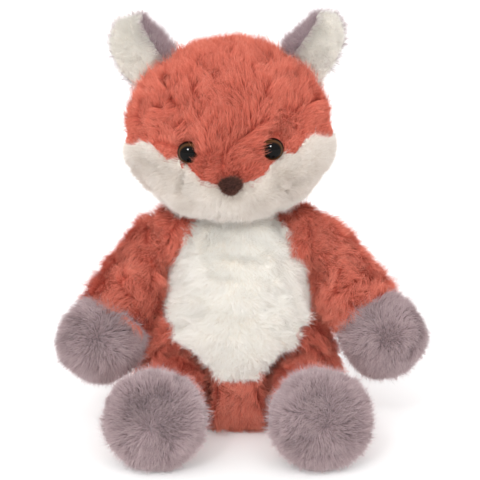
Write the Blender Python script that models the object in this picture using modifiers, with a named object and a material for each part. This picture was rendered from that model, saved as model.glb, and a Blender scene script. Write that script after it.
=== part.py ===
"""Sitting plush fox: stuffed covers of cut plush, their fillings and the small parts on them.

Metres, +Z up. The fox sits on the plane z = 0 and looks along -Y. Its own left side is +X.
The origin is on the seat plane, under the middle of the torso.
"""
import math

import bmesh
import bpy
from mathutils import Matrix, Vector

# Plush and clearances
LONG_PILE_WALL = 0.0055
SHORT_PILE_WALL = 0.0026
SEAM_GAP = 0.0003
JOINT_GAP = 0.0005
FILLING_GAP = 0.00095
FILLING_FACE_SHARE = 0.42
FLOOR_FLAT = 0.0005
WELD_DISTANCE = 0.00001
SHARP_DEGREES = 50.0
OVERRUN = 0.03

# Torso
TORSO_SHOULDER_HEIGHT = 0.116
TORSO_WIDTH = 0.132
TORSO_DEPTH = 0.108
TORSO_RING_SHARES = (
    (0.98, 0.58, 0.64),
    (0.80, 0.64, 0.76),
    (0.62, 0.71, 0.88),
    (0.44, 0.93, 0.98),
    (0.26, 1.02, 1.02),
    (0.10, 0.90, 0.90),
)
SEAT_SHARE = 0.62
TORSO_AROUND = 12

# Belly panel, half of its outline from the bottom up: share of half width, share of height
BELLY_WIDTH = TORSO_WIDTH * 0.667
BELLY_BOTTOM = 0.039
BELLY_HEIGHT = 0.097
BELLY_REACH_BACK = -0.008
BELLY_OUTLINE_SHARES = (
    (0.26, 0.00),
    (0.55, 0.05),
    (0.80, 0.14),
    (0.97, 0.28),
    (1.00, 0.42),
    (0.93, 0.60),
    (0.78, 0.74),
    (0.72, 0.88),
    (0.50, 1.00),
)

# Neck: the torso ends in a dome, on which the head turns and nods
NECK_HEIGHT = 0.118
NECK_RADIUS = 0.032
NECK_RING_DEGREES = (30.0, 58.0)
NECK_HOLE_RADIUS = 0.017
NECK_WAD_LENGTH = 0.009

# Head, placed from the neck's pivot
HEAD_WIDTH = 0.131
HEAD_DEPTH = 0.108
HEAD_HEIGHT = 0.115
HEAD_BASE = 0.0105
HEAD_SHIFT = -0.002
HEAD_FORWARD = -0.003
HEAD_ROLL_DEGREES = -2.3
HEAD_RING_SHARES = (
    (0.96, 0.38, 0.40),
    (0.86, 0.70, 0.70),
    (0.70, 0.95, 0.93),
    (0.52, 1.03, 1.02),
    (0.35, 0.99, 1.02),
    (0.19, 0.84, 0.93),
    (0.06, 0.54, 0.66),
)
HEAD_AROUND = 12
MUZZLE_BULGE = 0.007
MUZZLE_HEIGHT_SHARE = 0.27
MUZZLE_WIDTH = HEAD_WIDTH * 0.366
MUZZLE_TALL = 0.040

# Cheek panel: the cream lower face, half of its upper edge from the nose out
# share of half the head's width, share of the head's height
CHEEK_EDGE_SHARES = (
    (0.00, 0.230),
    (0.13, 0.243),
    (0.28, 0.27),
    (0.36, 0.325),
    (0.46, 0.41),
    (0.58, 0.38),
    (0.70, 0.45),
    (0.78, 0.465),
    (0.88, 0.43),
    (1.10, 0.40),
)
CHEEK_REACH_BACK = 0.006

# Eyes: a domed button and its shank in one piece, held by a washer
EYE_RADIUS = 0.0066
EYE_DOME = 0.0056
EYE_RIM = 0.0012
EYE_SPACING = HEAD_WIDTH * 0.391
EYE_HEIGHT_SHARE = 0.431
EYE_SINK = 0.0028
EYE_TURN_SHARE = 0.4415
SHANK_RADIUS = 0.0018
SHANK_LENGTH = 0.0095
WASHER_RADIUS = 0.0060
WASHER_THICKNESS = 0.0012
WASHER_SEAT_GAP = 0.0020
EYE_AROUND = 16
WASHER_AROUND = 12

# Nose: a small velour pad, rings from its top down
NOSE_WIDTH = 0.0150
NOSE_HEIGHT = 0.0120
NOSE_DEPTH = 0.0075
NOSE_HEIGHT_SHARE = 0.252
NOSE_STAND = 0.0012
NOSE_SHIFT = -0.0006
NOSE_RING_SHARES = (
    (0.36, 0.80, 0.80),
    (0.12, 1.00, 1.00),
    (-0.14, 0.82, 0.94),
    (-0.36, 0.46, 0.74),
)
NOSE_AROUND = 8

# Ears, each a leaf of two layers whose inner side is folded forward. Rows are shares of
# height, half width, fold and curl. The fold's steps are a turn in degrees and a length
EAR_WIDTH = HEAD_WIDTH * 0.284
EAR_HEIGHT = 0.0475
EAR_SPACING = HEAD_WIDTH * 0.655
EAR_ROOT_SHARE = 0.70
EAR_BACK = 0.004
EAR_TILT_DEGREES = 22.0
EAR_TURN_DEGREES = 12.0
EAR_ROOT_GAP = 0.00095
EAR_ROW_SHARES = (
    (0.00, 0.65, 0.70, 0.80),
    (0.16, 0.84, 0.90, 0.95),
    (0.32, 0.92, 1.00, 1.00),
    (0.49, 0.98, 1.02, 1.00),
    (0.66, 1.00, 0.92, 1.00),
    (0.80, 0.92, 0.78, 0.90),
    (0.91, 0.72, 0.62, 0.75),
    (1.00, 0.40, 0.44, 0.35),
)
EAR_OPEN_COLUMNS = 4
EAR_CUP_SHARE = 0.16
EAR_FOLD_STEP_SHARE = 0.365
EAR_FOLD_SHARES = (
    (0.0, 1.00),
    (0.0, 1.00),
    (30.0, 1.00),
    (110.0, 0.75),
    (160.0, 0.55),
    (172.0, 0.50),
)

# Arms, hanging from the shoulder's pivot: share of length, share of width, share of depth
SHOULDER_SPACING = TORSO_WIDTH * 0.7576
SHOULDER_HEIGHT = 0.110
SHOULDER_BACK = 0.002
SHOULDER_RADIUS = 0.0205
SHOULDER_BALL = 0.0190
ARM_LENGTH = 0.096
PAW_WIDTH = 0.054
PAW_DEPTH = 0.045
ARM_RING_SHARES = (
    (0.20, 0.80, 0.92),
    (0.42, 0.86, 0.96),
    (0.55, 0.80, 0.90),
    (0.68, 1.00, 1.03),
    (0.84, 1.00, 1.00),
    (0.95, 0.66, 0.68),
)
WRIST_SHARE = 0.545
ARM_LEAN_DEGREES = 23.5
ARM_INNER_SIDE = TORSO_WIDTH * 0.3523
ARM_SPREAD_DEGREES = {"left": 37.5, "right": 33.0}
LIMB_AROUND = 8

# Legs, stretched forward from the hip's pivot
HIP_SPACING = TORSO_WIDTH * 0.5606
HIP_FORWARD = -0.038
HIP_RADIUS = 0.024
LEG_LENGTH = 0.088
FOOT_WIDTH = 0.062
LEG_SPLAY_DEGREES = 9.5
LEG_RING_SHARES = (
    (0.27, 0.71),
    (0.48, 0.84),
    (0.62, 0.88),
    (0.76, 1.04),
    (0.90, 1.00),
    (0.965, 0.78),
)
FOOT_FULL_SHARE = 0.975
ANKLE_SHARE = 0.60
SOLE_SHARE = 0.905

# Tail, lying back from its root
TAIL_ROOT_BACK = 0.050
TAIL_ROOT_HEIGHT = 0.024
TAIL_ROOT_RADIUS = 0.014
TAIL_LENGTH = 0.085
TAIL_WIDTH = 0.044
TAIL_DROP_DEGREES = 86.0
TAIL_RING_SHARES = (
    (0.21, 0.55),
    (0.42, 0.94),
    (0.64, 1.00),
    (0.82, 0.68),
    (0.94, 0.34),
)
TAIL_TIP_SHARE = 0.66

# Limb roots: rings of the ball that sits in the torso's hollow
ROOT_RING_DEGREES = (35.0, 75.0)
ROOT_HOLE_SHARE = 0.5

# Seat pellets, in a small bag under the filling: rings from its top down
PELLET_BAG_WIDTH = 0.078
PELLET_BAG_DEPTH = 0.042
PELLET_BAG_HEIGHT = 0.024
PELLET_BAG_BACK = 0.008
PELLET_RING_SHARES = (
    (0.90, 0.55),
    (0.65, 0.92),
    (0.30, 1.00),
    (-0.20, 0.92),
)

BALL_AROUND = 14
CUTTER_AROUND = 16
CUTTER_TURN_DEGREES = 5.0


def empty_scene():
    for existing in list(bpy.data.objects):
        bpy.data.objects.remove(existing, do_unlink=True)


def new_collection(name):
    collection = bpy.data.collections.new(name)
    bpy.context.scene.collection.children.link(collection)
    return collection


def new_material(name, rgb, roughness):
    material = bpy.data.materials.new(name)
    material.use_nodes = True
    shader = material.node_tree.nodes["Principled BSDF"]
    shader.inputs["Base Color"].default_value = (*rgb, 1.0)
    shader.inputs["Roughness"].default_value = roughness
    shader.inputs["Metallic"].default_value = 0.0
    return material


def add_part(name, mesh, material, parent=None):
    """A named sub-part in the fox's collection."""
    part = bpy.data.objects.new(name, mesh)
    FOX.objects.link(part)
    mesh.materials.clear()
    mesh.materials.append(material)
    mesh.shade_smooth()
    mesh.set_sharp_from_angle(angle=math.radians(SHARP_DEGREES))
    if parent is not None:
        part.parent = parent
    return part


def add_cutter(name, mesh, parent=None):
    """A guide shape that cuts the parts and isn't one of them."""
    cutter = bpy.data.objects.new(name, mesh)
    CUTTERS.objects.link(cutter)
    cutter.hide_render = True
    cutter.display_type = "WIRE"
    if parent is not None:
        cutter.parent = parent
    return cutter


def add_pivot(name, location, rotation=(0.0, 0.0, 0.0), parent=None):
    """An empty on a joint's axis, which carries the pieces that move with it."""
    pivot = bpy.data.objects.new(name, None)
    FOX.objects.link(pivot)
    pivot.location = location
    pivot.rotation_euler = rotation
    if parent is not None:
        pivot.parent = parent
    return pivot


# Modifiers

def subdivide(part):
    modifier = part.modifiers.new("Soften", "SUBSURF")
    modifier.levels = 1
    modifier.render_levels = 1


def hollow(part, wall):
    """Leave a wall of plush, measured inwards from the outer surface."""
    modifier = part.modifiers.new("Plush wall", "SOLIDIFY")
    modifier.thickness = wall
    modifier.offset = -1


def shrink(part, depth):
    """Move the whole surface in by a depth, as a filling lies inside its cover."""
    modifier = part.modifiers.new("Inside the cover", "DISPLACE")
    modifier.direction = "NORMAL"
    modifier.mid_level = 0.0
    modifier.strength = -depth


def fill(part):
    """A filling: the cover's shape moved in, with coarser faces."""
    subdivide(part)
    shrink(part, LONG_PILE_WALL + FILLING_GAP)
    modifier = part.modifiers.new("Coarser faces", "DECIMATE")
    modifier.ratio = FILLING_FACE_SHARE


def boolean(part, cutter, operation):
    modifier = part.modifiers.new(operation.title() + " " + cutter.name, "BOOLEAN")
    modifier.operation = operation
    modifier.solver = "EXACT"
    modifier.object = cutter


def cut(part, *cutters):
    for cutter in cutters:
        boolean(part, cutter, "DIFFERENCE")


def keep(part, cutter):
    boolean(part, cutter, "INTERSECT")


# Meshes

def mesh_from(name, bm):
    bmesh.ops.recalc_face_normals(bm, faces=bm.faces)
    mesh = bpy.data.meshes.new(name)
    bm.to_mesh(mesh)
    bm.free()
    return mesh


def ring_cage(name, rings, first_end, last_end, around):
    """A closed cage: a sphere whose parallels are moved onto the given rings.

    A ring is its centre and its two half axes. The half axes grow a little, because
    softening the cage draws every ring in.
    """
    swell = 1.0 / (0.75 + 0.25 * math.cos(math.tau / around))
    bm = bmesh.new()
    bmesh.ops.create_uvsphere(bm, u_segments=around, v_segments=len(rings) + 1, radius=1)
    for vertex in bm.verts:
        polar = math.acos(max(-1.0, min(1.0, vertex.co.z)))
        index = round(polar / math.pi * (len(rings) + 1)) - 1
        turn = math.atan2(vertex.co.y, vertex.co.x)
        if index < 0:
            vertex.co = first_end
        elif index >= len(rings):
            vertex.co = last_end
        else:
            centre, half_a, half_b = rings[index]
            vertex.co = centre + (half_a * math.cos(turn) + half_b * math.sin(turn)) * swell
    return mesh_from(name, bm)


def ball_mesh(name, radius, around=BALL_AROUND):
    """A faceted ball whose flats lie no nearer than the radius."""
    bm = bmesh.new()
    outer = radius / math.cos(math.pi / around)
    turn = Matrix.Rotation(math.radians(CUTTER_TURN_DEGREES), 4, "Z")
    bmesh.ops.create_uvsphere(
        bm, u_segments=around, v_segments=around // 2, radius=outer, matrix=turn)
    return mesh_from(name, bm)


def rod_mesh(name, radius, low, high, around=CUTTER_AROUND):
    """An upright rod between two heights."""
    bm = bmesh.new()
    middle = Matrix.Translation((0.0, 0.0, (low + high) / 2))
    turn = Matrix.Rotation(math.radians(CUTTER_TURN_DEGREES), 4, "Z")
    bmesh.ops.create_cone(
        bm,
        cap_ends=True,
        segments=around,
        radius1=radius,
        radius2=radius,
        depth=high - low,
        matrix=middle @ turn,
    )
    return mesh_from(name, bm)


def block_mesh(name, low, high):
    """A box between two corners."""
    bm = bmesh.new()
    low = Vector(low)
    high = Vector(high)
    size = Matrix.Diagonal((*(high - low), 1.0))
    bmesh.ops.create_cube(bm, size=1.0, matrix=Matrix.Translation((low + high) / 2) @ size)
    return mesh_from(name, bm)


def turned_mesh(name, profile, around):
    """A solid turned about Z from points of radius and height, top to bottom."""
    bm = bmesh.new()
    corners = [bm.verts.new((radius, 0.0, height)) for radius, height in profile]
    for start, end in zip(corners, corners[1:]):
        bm.edges.new((start, end))
    if profile[0][0] > 0.0:
        bm.edges.new((corners[-1], corners[0]))
    outline = bpy.data.meshes.new(name + " outline")
    bm.to_mesh(outline)
    bm.free()
    guide = bpy.data.objects.new(name + " outline", outline)
    bpy.context.scene.collection.objects.link(guide)
    screw = guide.modifiers.new("Turn", "SCREW")
    screw.axis = "Z"
    screw.steps = around
    screw.render_steps = around
    screw.use_merge_vertices = True
    screw.merge_threshold = WELD_DISTANCE
    evaluated = guide.evaluated_get(bpy.context.evaluated_depsgraph_get())
    mesh = bpy.data.meshes.new_from_object(evaluated)
    bpy.data.objects.remove(guide, do_unlink=True)
    return mesh


def outline_prism(name, points, front, back):
    """A flat outline in the XZ plane, filled and drawn out along Y."""
    curve = bpy.data.curves.new(name, "CURVE")
    curve.dimensions = "2D"
    curve.fill_mode = "BOTH"
    curve.extrude = (back - front) / 2
    spline = curve.splines.new("POLY")
    spline.points.add(len(points) - 1)
    for point, (across, height) in zip(spline.points, points):
        point.co = (across, height, 0.0, 1.0)
    spline.use_cyclic_u = True
    guide = bpy.data.objects.new(name, curve)
    bpy.context.scene.collection.objects.link(guide)
    evaluated = guide.evaluated_get(bpy.context.evaluated_depsgraph_get())
    mesh = bpy.data.meshes.new_from_object(evaluated)
    bpy.data.objects.remove(guide, do_unlink=True)
    bm = bmesh.new()
    bm.from_mesh(mesh)
    bmesh.ops.remove_doubles(bm, verts=bm.verts, dist=WELD_DISTANCE)
    upright = Matrix.Rotation(math.radians(90), 4, "X")
    middle = Matrix.Translation((0.0, (front + back) / 2, 0.0))
    bmesh.ops.transform(bm, matrix=middle @ upright, verts=bm.verts)
    bpy.data.meshes.remove(mesh)
    return mesh_from(name, bm)


def upright_ring(height, half_x, half_y, forward=0.0, across=0.0):
    centre = Vector((across, forward, height))
    return centre, Vector((half_x, 0.0, 0.0)), Vector((0.0, half_y, 0.0))


def grow_outline(points, amount):
    """Move a closed outline outwards by an amount."""
    grown = []
    count = len(points)
    for index in range(count):
        before = Vector(points[index - 1])
        after = Vector(points[(index + 1) % count])
        along = (after - before).normalized()
        grown.append(Vector(points[index]) + Vector((along.y, -along.x)) * amount)
    return grown


# Torso

def torso_mesh(name):
    """Pear-shaped body: a domed neck, sloping shoulders and a wide seat."""
    rings = []
    for degrees in NECK_RING_DEGREES:
        polar = math.radians(degrees)
        height = NECK_HEIGHT + NECK_RADIUS * math.cos(polar)
        radius = NECK_RADIUS * math.sin(polar)
        rings.append(upright_ring(height, radius, radius))
    half_width = TORSO_WIDTH / 2
    half_depth = TORSO_DEPTH / 2
    for height, width, depth in TORSO_RING_SHARES:
        level = height * TORSO_SHOULDER_HEIGHT
        rings.append(upright_ring(level, width * half_width, depth * half_depth))
    rings.append(upright_ring(-FLOOR_FLAT, SEAT_SHARE * half_width, SEAT_SHARE * half_depth))
    top = Vector((0.0, 0.0, NECK_HEIGHT + NECK_RADIUS))
    bottom = Vector((0.0, 0.0, -FLOOR_FLAT))
    return ring_cage(name, rings, top, bottom, TORSO_AROUND)


def belly_outline():
    half = []
    for across, height in BELLY_OUTLINE_SHARES:
        half.append((across * BELLY_WIDTH / 2, BELLY_BOTTOM + height * BELLY_HEIGHT))
    mirrored = [(-across, height) for across, height in reversed(half)]
    return half + mirrored


def pellet_mesh(name, grow):
    rings = []
    for height, width in PELLET_RING_SHARES:
        rings.append(upright_ring(
            LONG_PILE_WALL + height * PELLET_BAG_HEIGHT,
            width * PELLET_BAG_WIDTH / 2 + grow,
            width * PELLET_BAG_DEPTH / 2 + grow,
            PELLET_BAG_BACK,
        ))
    top = Vector((0.0, PELLET_BAG_BACK, LONG_PILE_WALL + PELLET_BAG_HEIGHT + grow))
    bottom = Vector((0.0, PELLET_BAG_BACK, -PELLET_BAG_HEIGHT))
    return ring_cage(name, rings, top, bottom, LIMB_AROUND)


def build_torso(floor, root_hollows):
    """Back and side cover, belly panel, filling and the pellet bag in the seat."""
    wall = LONG_PILE_WALL
    neck_top = NECK_HEIGHT + NECK_RADIUS
    neck_bore = rod_mesh(
        "neck_hole", NECK_HOLE_RADIUS, neck_top - wall - NECK_WAD_LENGTH, neck_top + OVERRUN)
    neck_hole = add_cutter("neck_hole", neck_bore)
    outline = belly_outline()
    wider = grow_outline(outline, SEAM_GAP)
    window = add_cutter("belly_window", outline_prism(
        "belly_window", wider, -TORSO_DEPTH, BELLY_REACH_BACK + SEAM_GAP))
    panel = add_cutter("belly_shape", outline_prism(
        "belly_shape", outline, -TORSO_DEPTH, BELLY_REACH_BACK))

    cover = add_part("torso_cover", torso_mesh("torso_cover"), ORANGE_PLUSH)
    subdivide(cover)
    hollow(cover, wall)
    cut(cover, window, neck_hole, *root_hollows, floor)

    belly = add_part("belly_panel", torso_mesh("belly_panel"), CREAM_PLUSH)
    subdivide(belly)
    hollow(belly, wall)
    keep(belly, panel)
    cut(belly, *root_hollows)

    bag = add_part("pellet_bag", pellet_mesh("pellet_bag", 0.0), COTTON)
    bag_room = add_cutter("pellet_room", pellet_mesh("pellet_room", SEAM_GAP * 2))
    inside = add_cutter("torso_inside", torso_mesh("torso_inside"))
    for piece in (bag, bag_room):
        subdivide(piece)
    fill(inside)
    keep(bag, inside)

    filling = add_part("torso_filling", torso_mesh("torso_filling"), FIBRE)
    fill(filling)
    cut(filling, neck_hole, *root_hollows, bag_room)


def build_neck():
    """The wad of filling in the neck's opening, which the head rides on."""
    pivot = add_pivot("neck_turn_axis", (0.0, 0.0, NECK_HEIGHT))
    radius = NECK_HOLE_RADIUS - JOINT_GAP
    low = NECK_RADIUS - LONG_PILE_WALL - NECK_WAD_LENGTH + SEAM_GAP
    profile = [(0.0, NECK_RADIUS)]
    steps = 3
    rim = math.asin(radius / NECK_RADIUS)
    for step in range(1, steps + 1):
        polar = rim * step / steps
        profile.append((NECK_RADIUS * math.sin(polar), NECK_RADIUS * math.cos(polar)))
    profile.append((radius, low))
    profile.append((0.0, low))
    add_part("neck_wad", turned_mesh("neck_wad", profile, CUTTER_AROUND), FIBRE, pivot)
    return pivot


# Head

def head_mesh(name):
    """Broad round head with full cheeks and a low muzzle, about the neck's pivot."""
    rings = []
    for height, width, depth in HEAD_RING_SHARES:
        rings.append(upright_ring(
            HEAD_BASE + height * HEAD_HEIGHT,
            width * HEAD_WIDTH / 2,
            depth * HEAD_DEPTH / 2,
            HEAD_FORWARD,
            HEAD_SHIFT,
        ))
    top = Vector((HEAD_SHIFT, HEAD_FORWARD, HEAD_BASE + HEAD_HEIGHT))
    bottom = Vector((HEAD_SHIFT, HEAD_FORWARD, HEAD_BASE))
    mesh = ring_cage(name, rings, top, bottom, HEAD_AROUND)
    muzzle_height = HEAD_BASE + MUZZLE_HEIGHT_SHARE * HEAD_HEIGHT
    for vertex in mesh.vertices:
        if vertex.co.y < HEAD_FORWARD:
            across = (vertex.co.x - HEAD_SHIFT) / (MUZZLE_WIDTH / 2)
            up = (vertex.co.z - muzzle_height) / (MUZZLE_TALL / 2)
            vertex.co.y -= MUZZLE_BULGE * math.exp(-across ** 2 - up ** 2)
    return mesh


def cheek_outline():
    """The cream panel's edge across the face, closed below the head."""
    half = []
    for across, height in CHEEK_EDGE_SHARES:
        half.append((across * HEAD_WIDTH / 2, HEAD_BASE + height * HEAD_HEIGHT))
    mirrored = [(-across, height) for across, height in half[:0:-1]]
    edge = [Vector((across + HEAD_SHIFT, height)) for across, height in mirrored + half]
    low = HEAD_BASE - OVERRUN
    right = Vector((edge[0].x, low))
    left = Vector((edge[-1].x, low))
    return [*reversed(edge), right, left]


def head_surface_y(across, height):
    """How far forward the head's skin lies at a place on the face."""
    low = HEAD_RING_SHARES[-1]
    high = HEAD_RING_SHARES[0]
    share = (height - HEAD_BASE) / HEAD_HEIGHT
    for upper, lower in zip(HEAD_RING_SHARES, HEAD_RING_SHARES[1:]):
        if upper[0] >= share >= lower[0]:
            high = upper
            low = lower
    part = (share - low[0]) / (high[0] - low[0])
    half_width = (low[1] + (high[1] - low[1]) * part) * HEAD_WIDTH / 2
    half_depth = (low[2] + (high[2] - low[2]) * part) * HEAD_DEPTH / 2
    muzzle_height = HEAD_BASE + MUZZLE_HEIGHT_SHARE * HEAD_HEIGHT
    from_middle = across / (MUZZLE_WIDTH / 2)
    up = (height - muzzle_height) / (MUZZLE_TALL / 2)
    bulge = MUZZLE_BULGE * math.exp(-from_middle ** 2 - up ** 2)
    return HEAD_FORWARD - half_depth * math.sqrt(1 - (across / half_width) ** 2) - bulge


def eye_profile():
    """Domed button, its flat back, and the shank behind it."""
    profile = [(0.0, EYE_DOME)]
    steps = 4
    for step in range(1, steps + 1):
        polar = math.pi / 2 * step / steps
        profile.append((EYE_RADIUS * math.sin(polar), EYE_DOME * math.cos(polar)))
    profile.append((EYE_RADIUS, -EYE_RIM))
    profile.append((SHANK_RADIUS, -EYE_RIM))
    profile.append((SHANK_RADIUS, -SHANK_LENGTH))
    profile.append((0.0, -SHANK_LENGTH))
    return profile


def washer_profile():
    bore = SHANK_RADIUS + SEAM_GAP
    back = EYE_SINK - LONG_PILE_WALL - WASHER_SEAT_GAP
    return [
        (bore, back),
        (WASHER_RADIUS, back),
        (WASHER_RADIUS, back - WASHER_THICKNESS),
        (bore, back - WASHER_THICKNESS),
    ]


def build_eye(side, sign, head):
    """One eye with its washer, and the room that they take in cover and filling."""
    height = HEAD_BASE + EYE_HEIGHT_SHARE * HEAD_HEIGHT
    across = sign * EYE_SPACING / 2
    skin = head_surface_y(across, height)
    turn = math.atan(EYE_TURN_SHARE * HEAD_DEPTH / HEAD_WIDTH)
    seat = add_pivot(
        "eye_seat_" + side,
        (across + HEAD_SHIFT, skin + EYE_SINK, height),
        (math.radians(90), 0.0, sign * turn),
        head,
    )
    eye = turned_mesh("eye_" + side, eye_profile(), EYE_AROUND)
    add_part("eye_" + side, eye, EYE_PLASTIC, seat)
    washer = turned_mesh("eye_washer_" + side, washer_profile(), WASHER_AROUND)
    add_part("eye_washer_" + side, washer, WHITE_PLASTIC, seat)

    seat_room = rod_mesh("eye_room_" + side, EYE_RADIUS + SEAM_GAP, -EYE_RIM - SEAM_GAP, OVERRUN)
    shank_room = rod_mesh("shank_room_" + side, SHANK_RADIUS + SEAM_GAP,
                          -SHANK_LENGTH - SEAM_GAP, 0.0, WASHER_AROUND)
    back = washer_profile()[0][1]
    washer_room = rod_mesh("washer_room_" + side, WASHER_RADIUS + SEAM_GAP,
                           back - WASHER_THICKNESS - SEAM_GAP, 0.0, WASHER_AROUND)
    return (
        add_cutter("eye_room_" + side, seat_room, seat),
        add_cutter("shank_room_" + side, shank_room, seat),
        add_cutter("washer_room_" + side, washer_room, seat),
    )


def nose_mesh(name, grow):
    rings = []
    for height, width, depth in NOSE_RING_SHARES:
        rings.append(upright_ring(
            height * NOSE_HEIGHT,
            width * NOSE_WIDTH / 2 + grow,
            depth * NOSE_DEPTH / 2 + grow,
        ))
    top = Vector((0.0, 0.0, NOSE_HEIGHT / 2 + grow))
    bottom = Vector((0.0, 0.0, -NOSE_HEIGHT / 2 - grow))
    return ring_cage(name, rings, top, bottom, NOSE_AROUND)


def ear_row(width, fold, curl):
    """Places across the ear at one height, from its outer edge to its folded inner one."""
    half = width * EAR_WIDTH / 2
    point = Vector((half, -EAR_CUP_SHARE * half))
    places = [point]
    for column in range(EAR_OPEN_COLUMNS):
        turn = (column / EAR_OPEN_COLUMNS - 1.0) * EAR_CUP_SHARE * math.pi / 2
        point = point - Vector((math.cos(turn), math.sin(turn))) * half / EAR_OPEN_COLUMNS
        places.append(point)
    step = fold * EAR_FOLD_STEP_SHARE * EAR_WIDTH / 2
    for degrees, length in EAR_FOLD_SHARES:
        turn = math.radians(degrees) * curl
        point = point - Vector((math.cos(turn), math.sin(turn))) * step * length
        places.append(point)
    return places


def ear_sheet(name, sign):
    """The ear's middle surface: a leaf whose inner side folds forward and over."""
    bm = bmesh.new()
    rows = len(EAR_ROW_SHARES)
    columns = EAR_OPEN_COLUMNS + len(EAR_FOLD_SHARES)
    bmesh.ops.create_grid(bm, x_segments=columns, y_segments=rows - 1, size=1.0)
    places = [ear_row(width, fold, curl) for _, width, fold, curl in EAR_ROW_SHARES]
    for vertex in bm.verts:
        column = round((vertex.co.x + 1) / 2 * columns)
        row = round((vertex.co.y + 1) / 2 * (rows - 1))
        place = places[row][column]
        vertex.co = (sign * place.x, place.y, EAR_ROW_SHARES[row][0] * EAR_HEIGHT)
    if sign > 0:
        bmesh.ops.reverse_faces(bm, faces=bm.faces)
    bmesh.ops.triangulate(bm, faces=bm.faces)
    mesh = bpy.data.meshes.new(name)
    bm.to_mesh(mesh)
    bm.free()
    return mesh


def build_ear(side, sign, head, skull):
    """Cream front layer and grey back layer, standing on the head's side."""
    root = HEAD_BASE + EAR_ROOT_SHARE * HEAD_HEIGHT
    pivot = add_pivot(
        "ear_root_" + side,
        (HEAD_SHIFT + sign * EAR_SPACING / 2, EAR_BACK, root),
        (0.0, sign * math.radians(EAR_TILT_DEGREES), sign * math.radians(EAR_TURN_DEGREES)),
        head,
    )
    layers = (("front", CREAM_PLUSH, 1.0), ("back", GREY_PLUSH, -1.0))
    for layer, material, facing in layers:
        name = "ear_" + layer + "_" + side
        part = add_part(name, ear_sheet(name, sign), material, pivot)
        spread = part.modifiers.new("Beside the other layer", "DISPLACE")
        spread.direction = "NORMAL"
        spread.mid_level = 0.0
        spread.strength = facing * SEAM_GAP / 2
        thick = part.modifiers.new("Layer", "SOLIDIFY")
        thick.thickness = SHORT_PILE_WALL
        thick.offset = facing
        cut(part, skull)


def build_head(neck):
    """Cover, cheek panel, filling, eyes, nose and ears, all on the nodding pivot."""
    roll = math.radians(HEAD_ROLL_DEGREES)
    head = add_pivot("head_nod_axis", (0.0, 0.0, 0.0), (0.0, roll, 0.0), neck)
    dome = add_cutter("neck_dome", ball_mesh("neck_dome", NECK_RADIUS + JOINT_GAP, CUTTER_AROUND), head)
    skull = add_cutter("head_outside", head_mesh("head_outside"), head)
    subdivide(skull)
    shrink(skull, -EAR_ROOT_GAP)

    edge = cheek_outline()
    front = -HEAD_DEPTH
    cheek_window = outline_prism("cheek_window", grow_outline(edge, SEAM_GAP), front,
                                 CHEEK_REACH_BACK + SEAM_GAP)
    window = add_cutter("cheek_window", cheek_window, head)
    shape = add_cutter("cheek_shape", outline_prism("cheek_shape", edge, front, CHEEK_REACH_BACK), head)

    rooms = []
    for side, sign in (("left", 1.0), ("right", -1.0)):
        rooms.append(build_eye(side, sign, head))
        build_ear(side, sign, head, skull)

    nose_height = HEAD_BASE + NOSE_HEIGHT_SHARE * HEAD_HEIGHT
    nose_front = head_surface_y(0.0, nose_height) + NOSE_STAND
    nose_place = (HEAD_SHIFT + NOSE_SHIFT, nose_front, nose_height)
    nose = add_part("nose_pad", nose_mesh("nose_pad", 0.0), BROWN_VELOUR, head)
    nose_room = add_cutter("nose_room", nose_mesh("nose_room", SEAM_GAP * 2), head)
    for piece in (nose, nose_room):
        piece.location = nose_place
        subdivide(piece)

    cover = add_part("head_cover", head_mesh("head_cover"), ORANGE_PLUSH, head)
    cheeks = add_part("cheek_panel", head_mesh("cheek_panel"), CREAM_PLUSH, head)
    filling = add_part("head_filling", head_mesh("head_filling"), FIBRE, head)
    fill(filling)
    for piece in (cover, cheeks):
        subdivide(piece)
        hollow(piece, LONG_PILE_WALL)
        cut(piece, dome, nose_room)
        for eye_room, shank_room, _ in rooms:
            cut(piece, eye_room, shank_room)
    cut(cover, window)
    keep(cheeks, shape)
    cut(filling, dome)
    for _, shank_room, washer_room in rooms:
        cut(filling, shank_room, washer_room)


# Limbs: each hangs along -Z from its pivot, and the pivot lays it

def root_rings(radius):
    """Rings of the ball at a limb's root, from its inner end out."""
    rings = []
    for degrees in ROOT_RING_DEGREES:
        polar = math.radians(degrees)
        ring = radius * math.sin(polar)
        rings.append(upright_ring(radius * math.cos(polar), ring, ring))
    return rings


def limb_mesh(name, radius, length, half_width, half_depth, shares):
    """A stuffed limb that swells and tapers from its root ball to its end."""
    rings = root_rings(radius)
    for along, width, depth in shares:
        rings.append(upright_ring(-along * length, width * half_width, depth * half_depth))
    root = Vector((0.0, 0.0, radius))
    end = Vector((0.0, 0.0, -length))
    return ring_cage(name, rings, root, end, LIMB_AROUND)


def limb_piece(name, shape, material, pivot, wall=LONG_PILE_WALL):
    """A piece of a limb's cover, before it is cut to its stretch of the limb."""
    part = add_part(name, limb_mesh(name, *shape), material, pivot)
    subdivide(part)
    hollow(part, wall)
    return part


def limb_filling(name, shape, pivot):
    part = add_part(name, limb_mesh(name, *shape), FIBRE, pivot)
    fill(part)
    return part


def cross_cuts(name, seam, reach, pivot):
    """Two boxes that meet at a seam across a limb, half a seam gap apart on each side."""
    half = SEAM_GAP / 2
    above = block_mesh(name + "_above", (-reach, -reach, seam - half), (reach, reach, OVERRUN * 2))
    below = block_mesh(name + "_below", (-reach, -reach, -reach * 2), (reach, reach, seam + half))
    return add_cutter(name + "_above", above, pivot), add_cutter(name + "_below", below, pivot)


def root_hole(name, radius, pivot):
    """The opening at a limb's root, through which it is stuffed."""
    hole = rod_mesh(name, radius * ROOT_HOLE_SHARE, 0.0, radius + OVERRUN, WASHER_AROUND)
    return add_cutter(name, hole, pivot)


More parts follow.
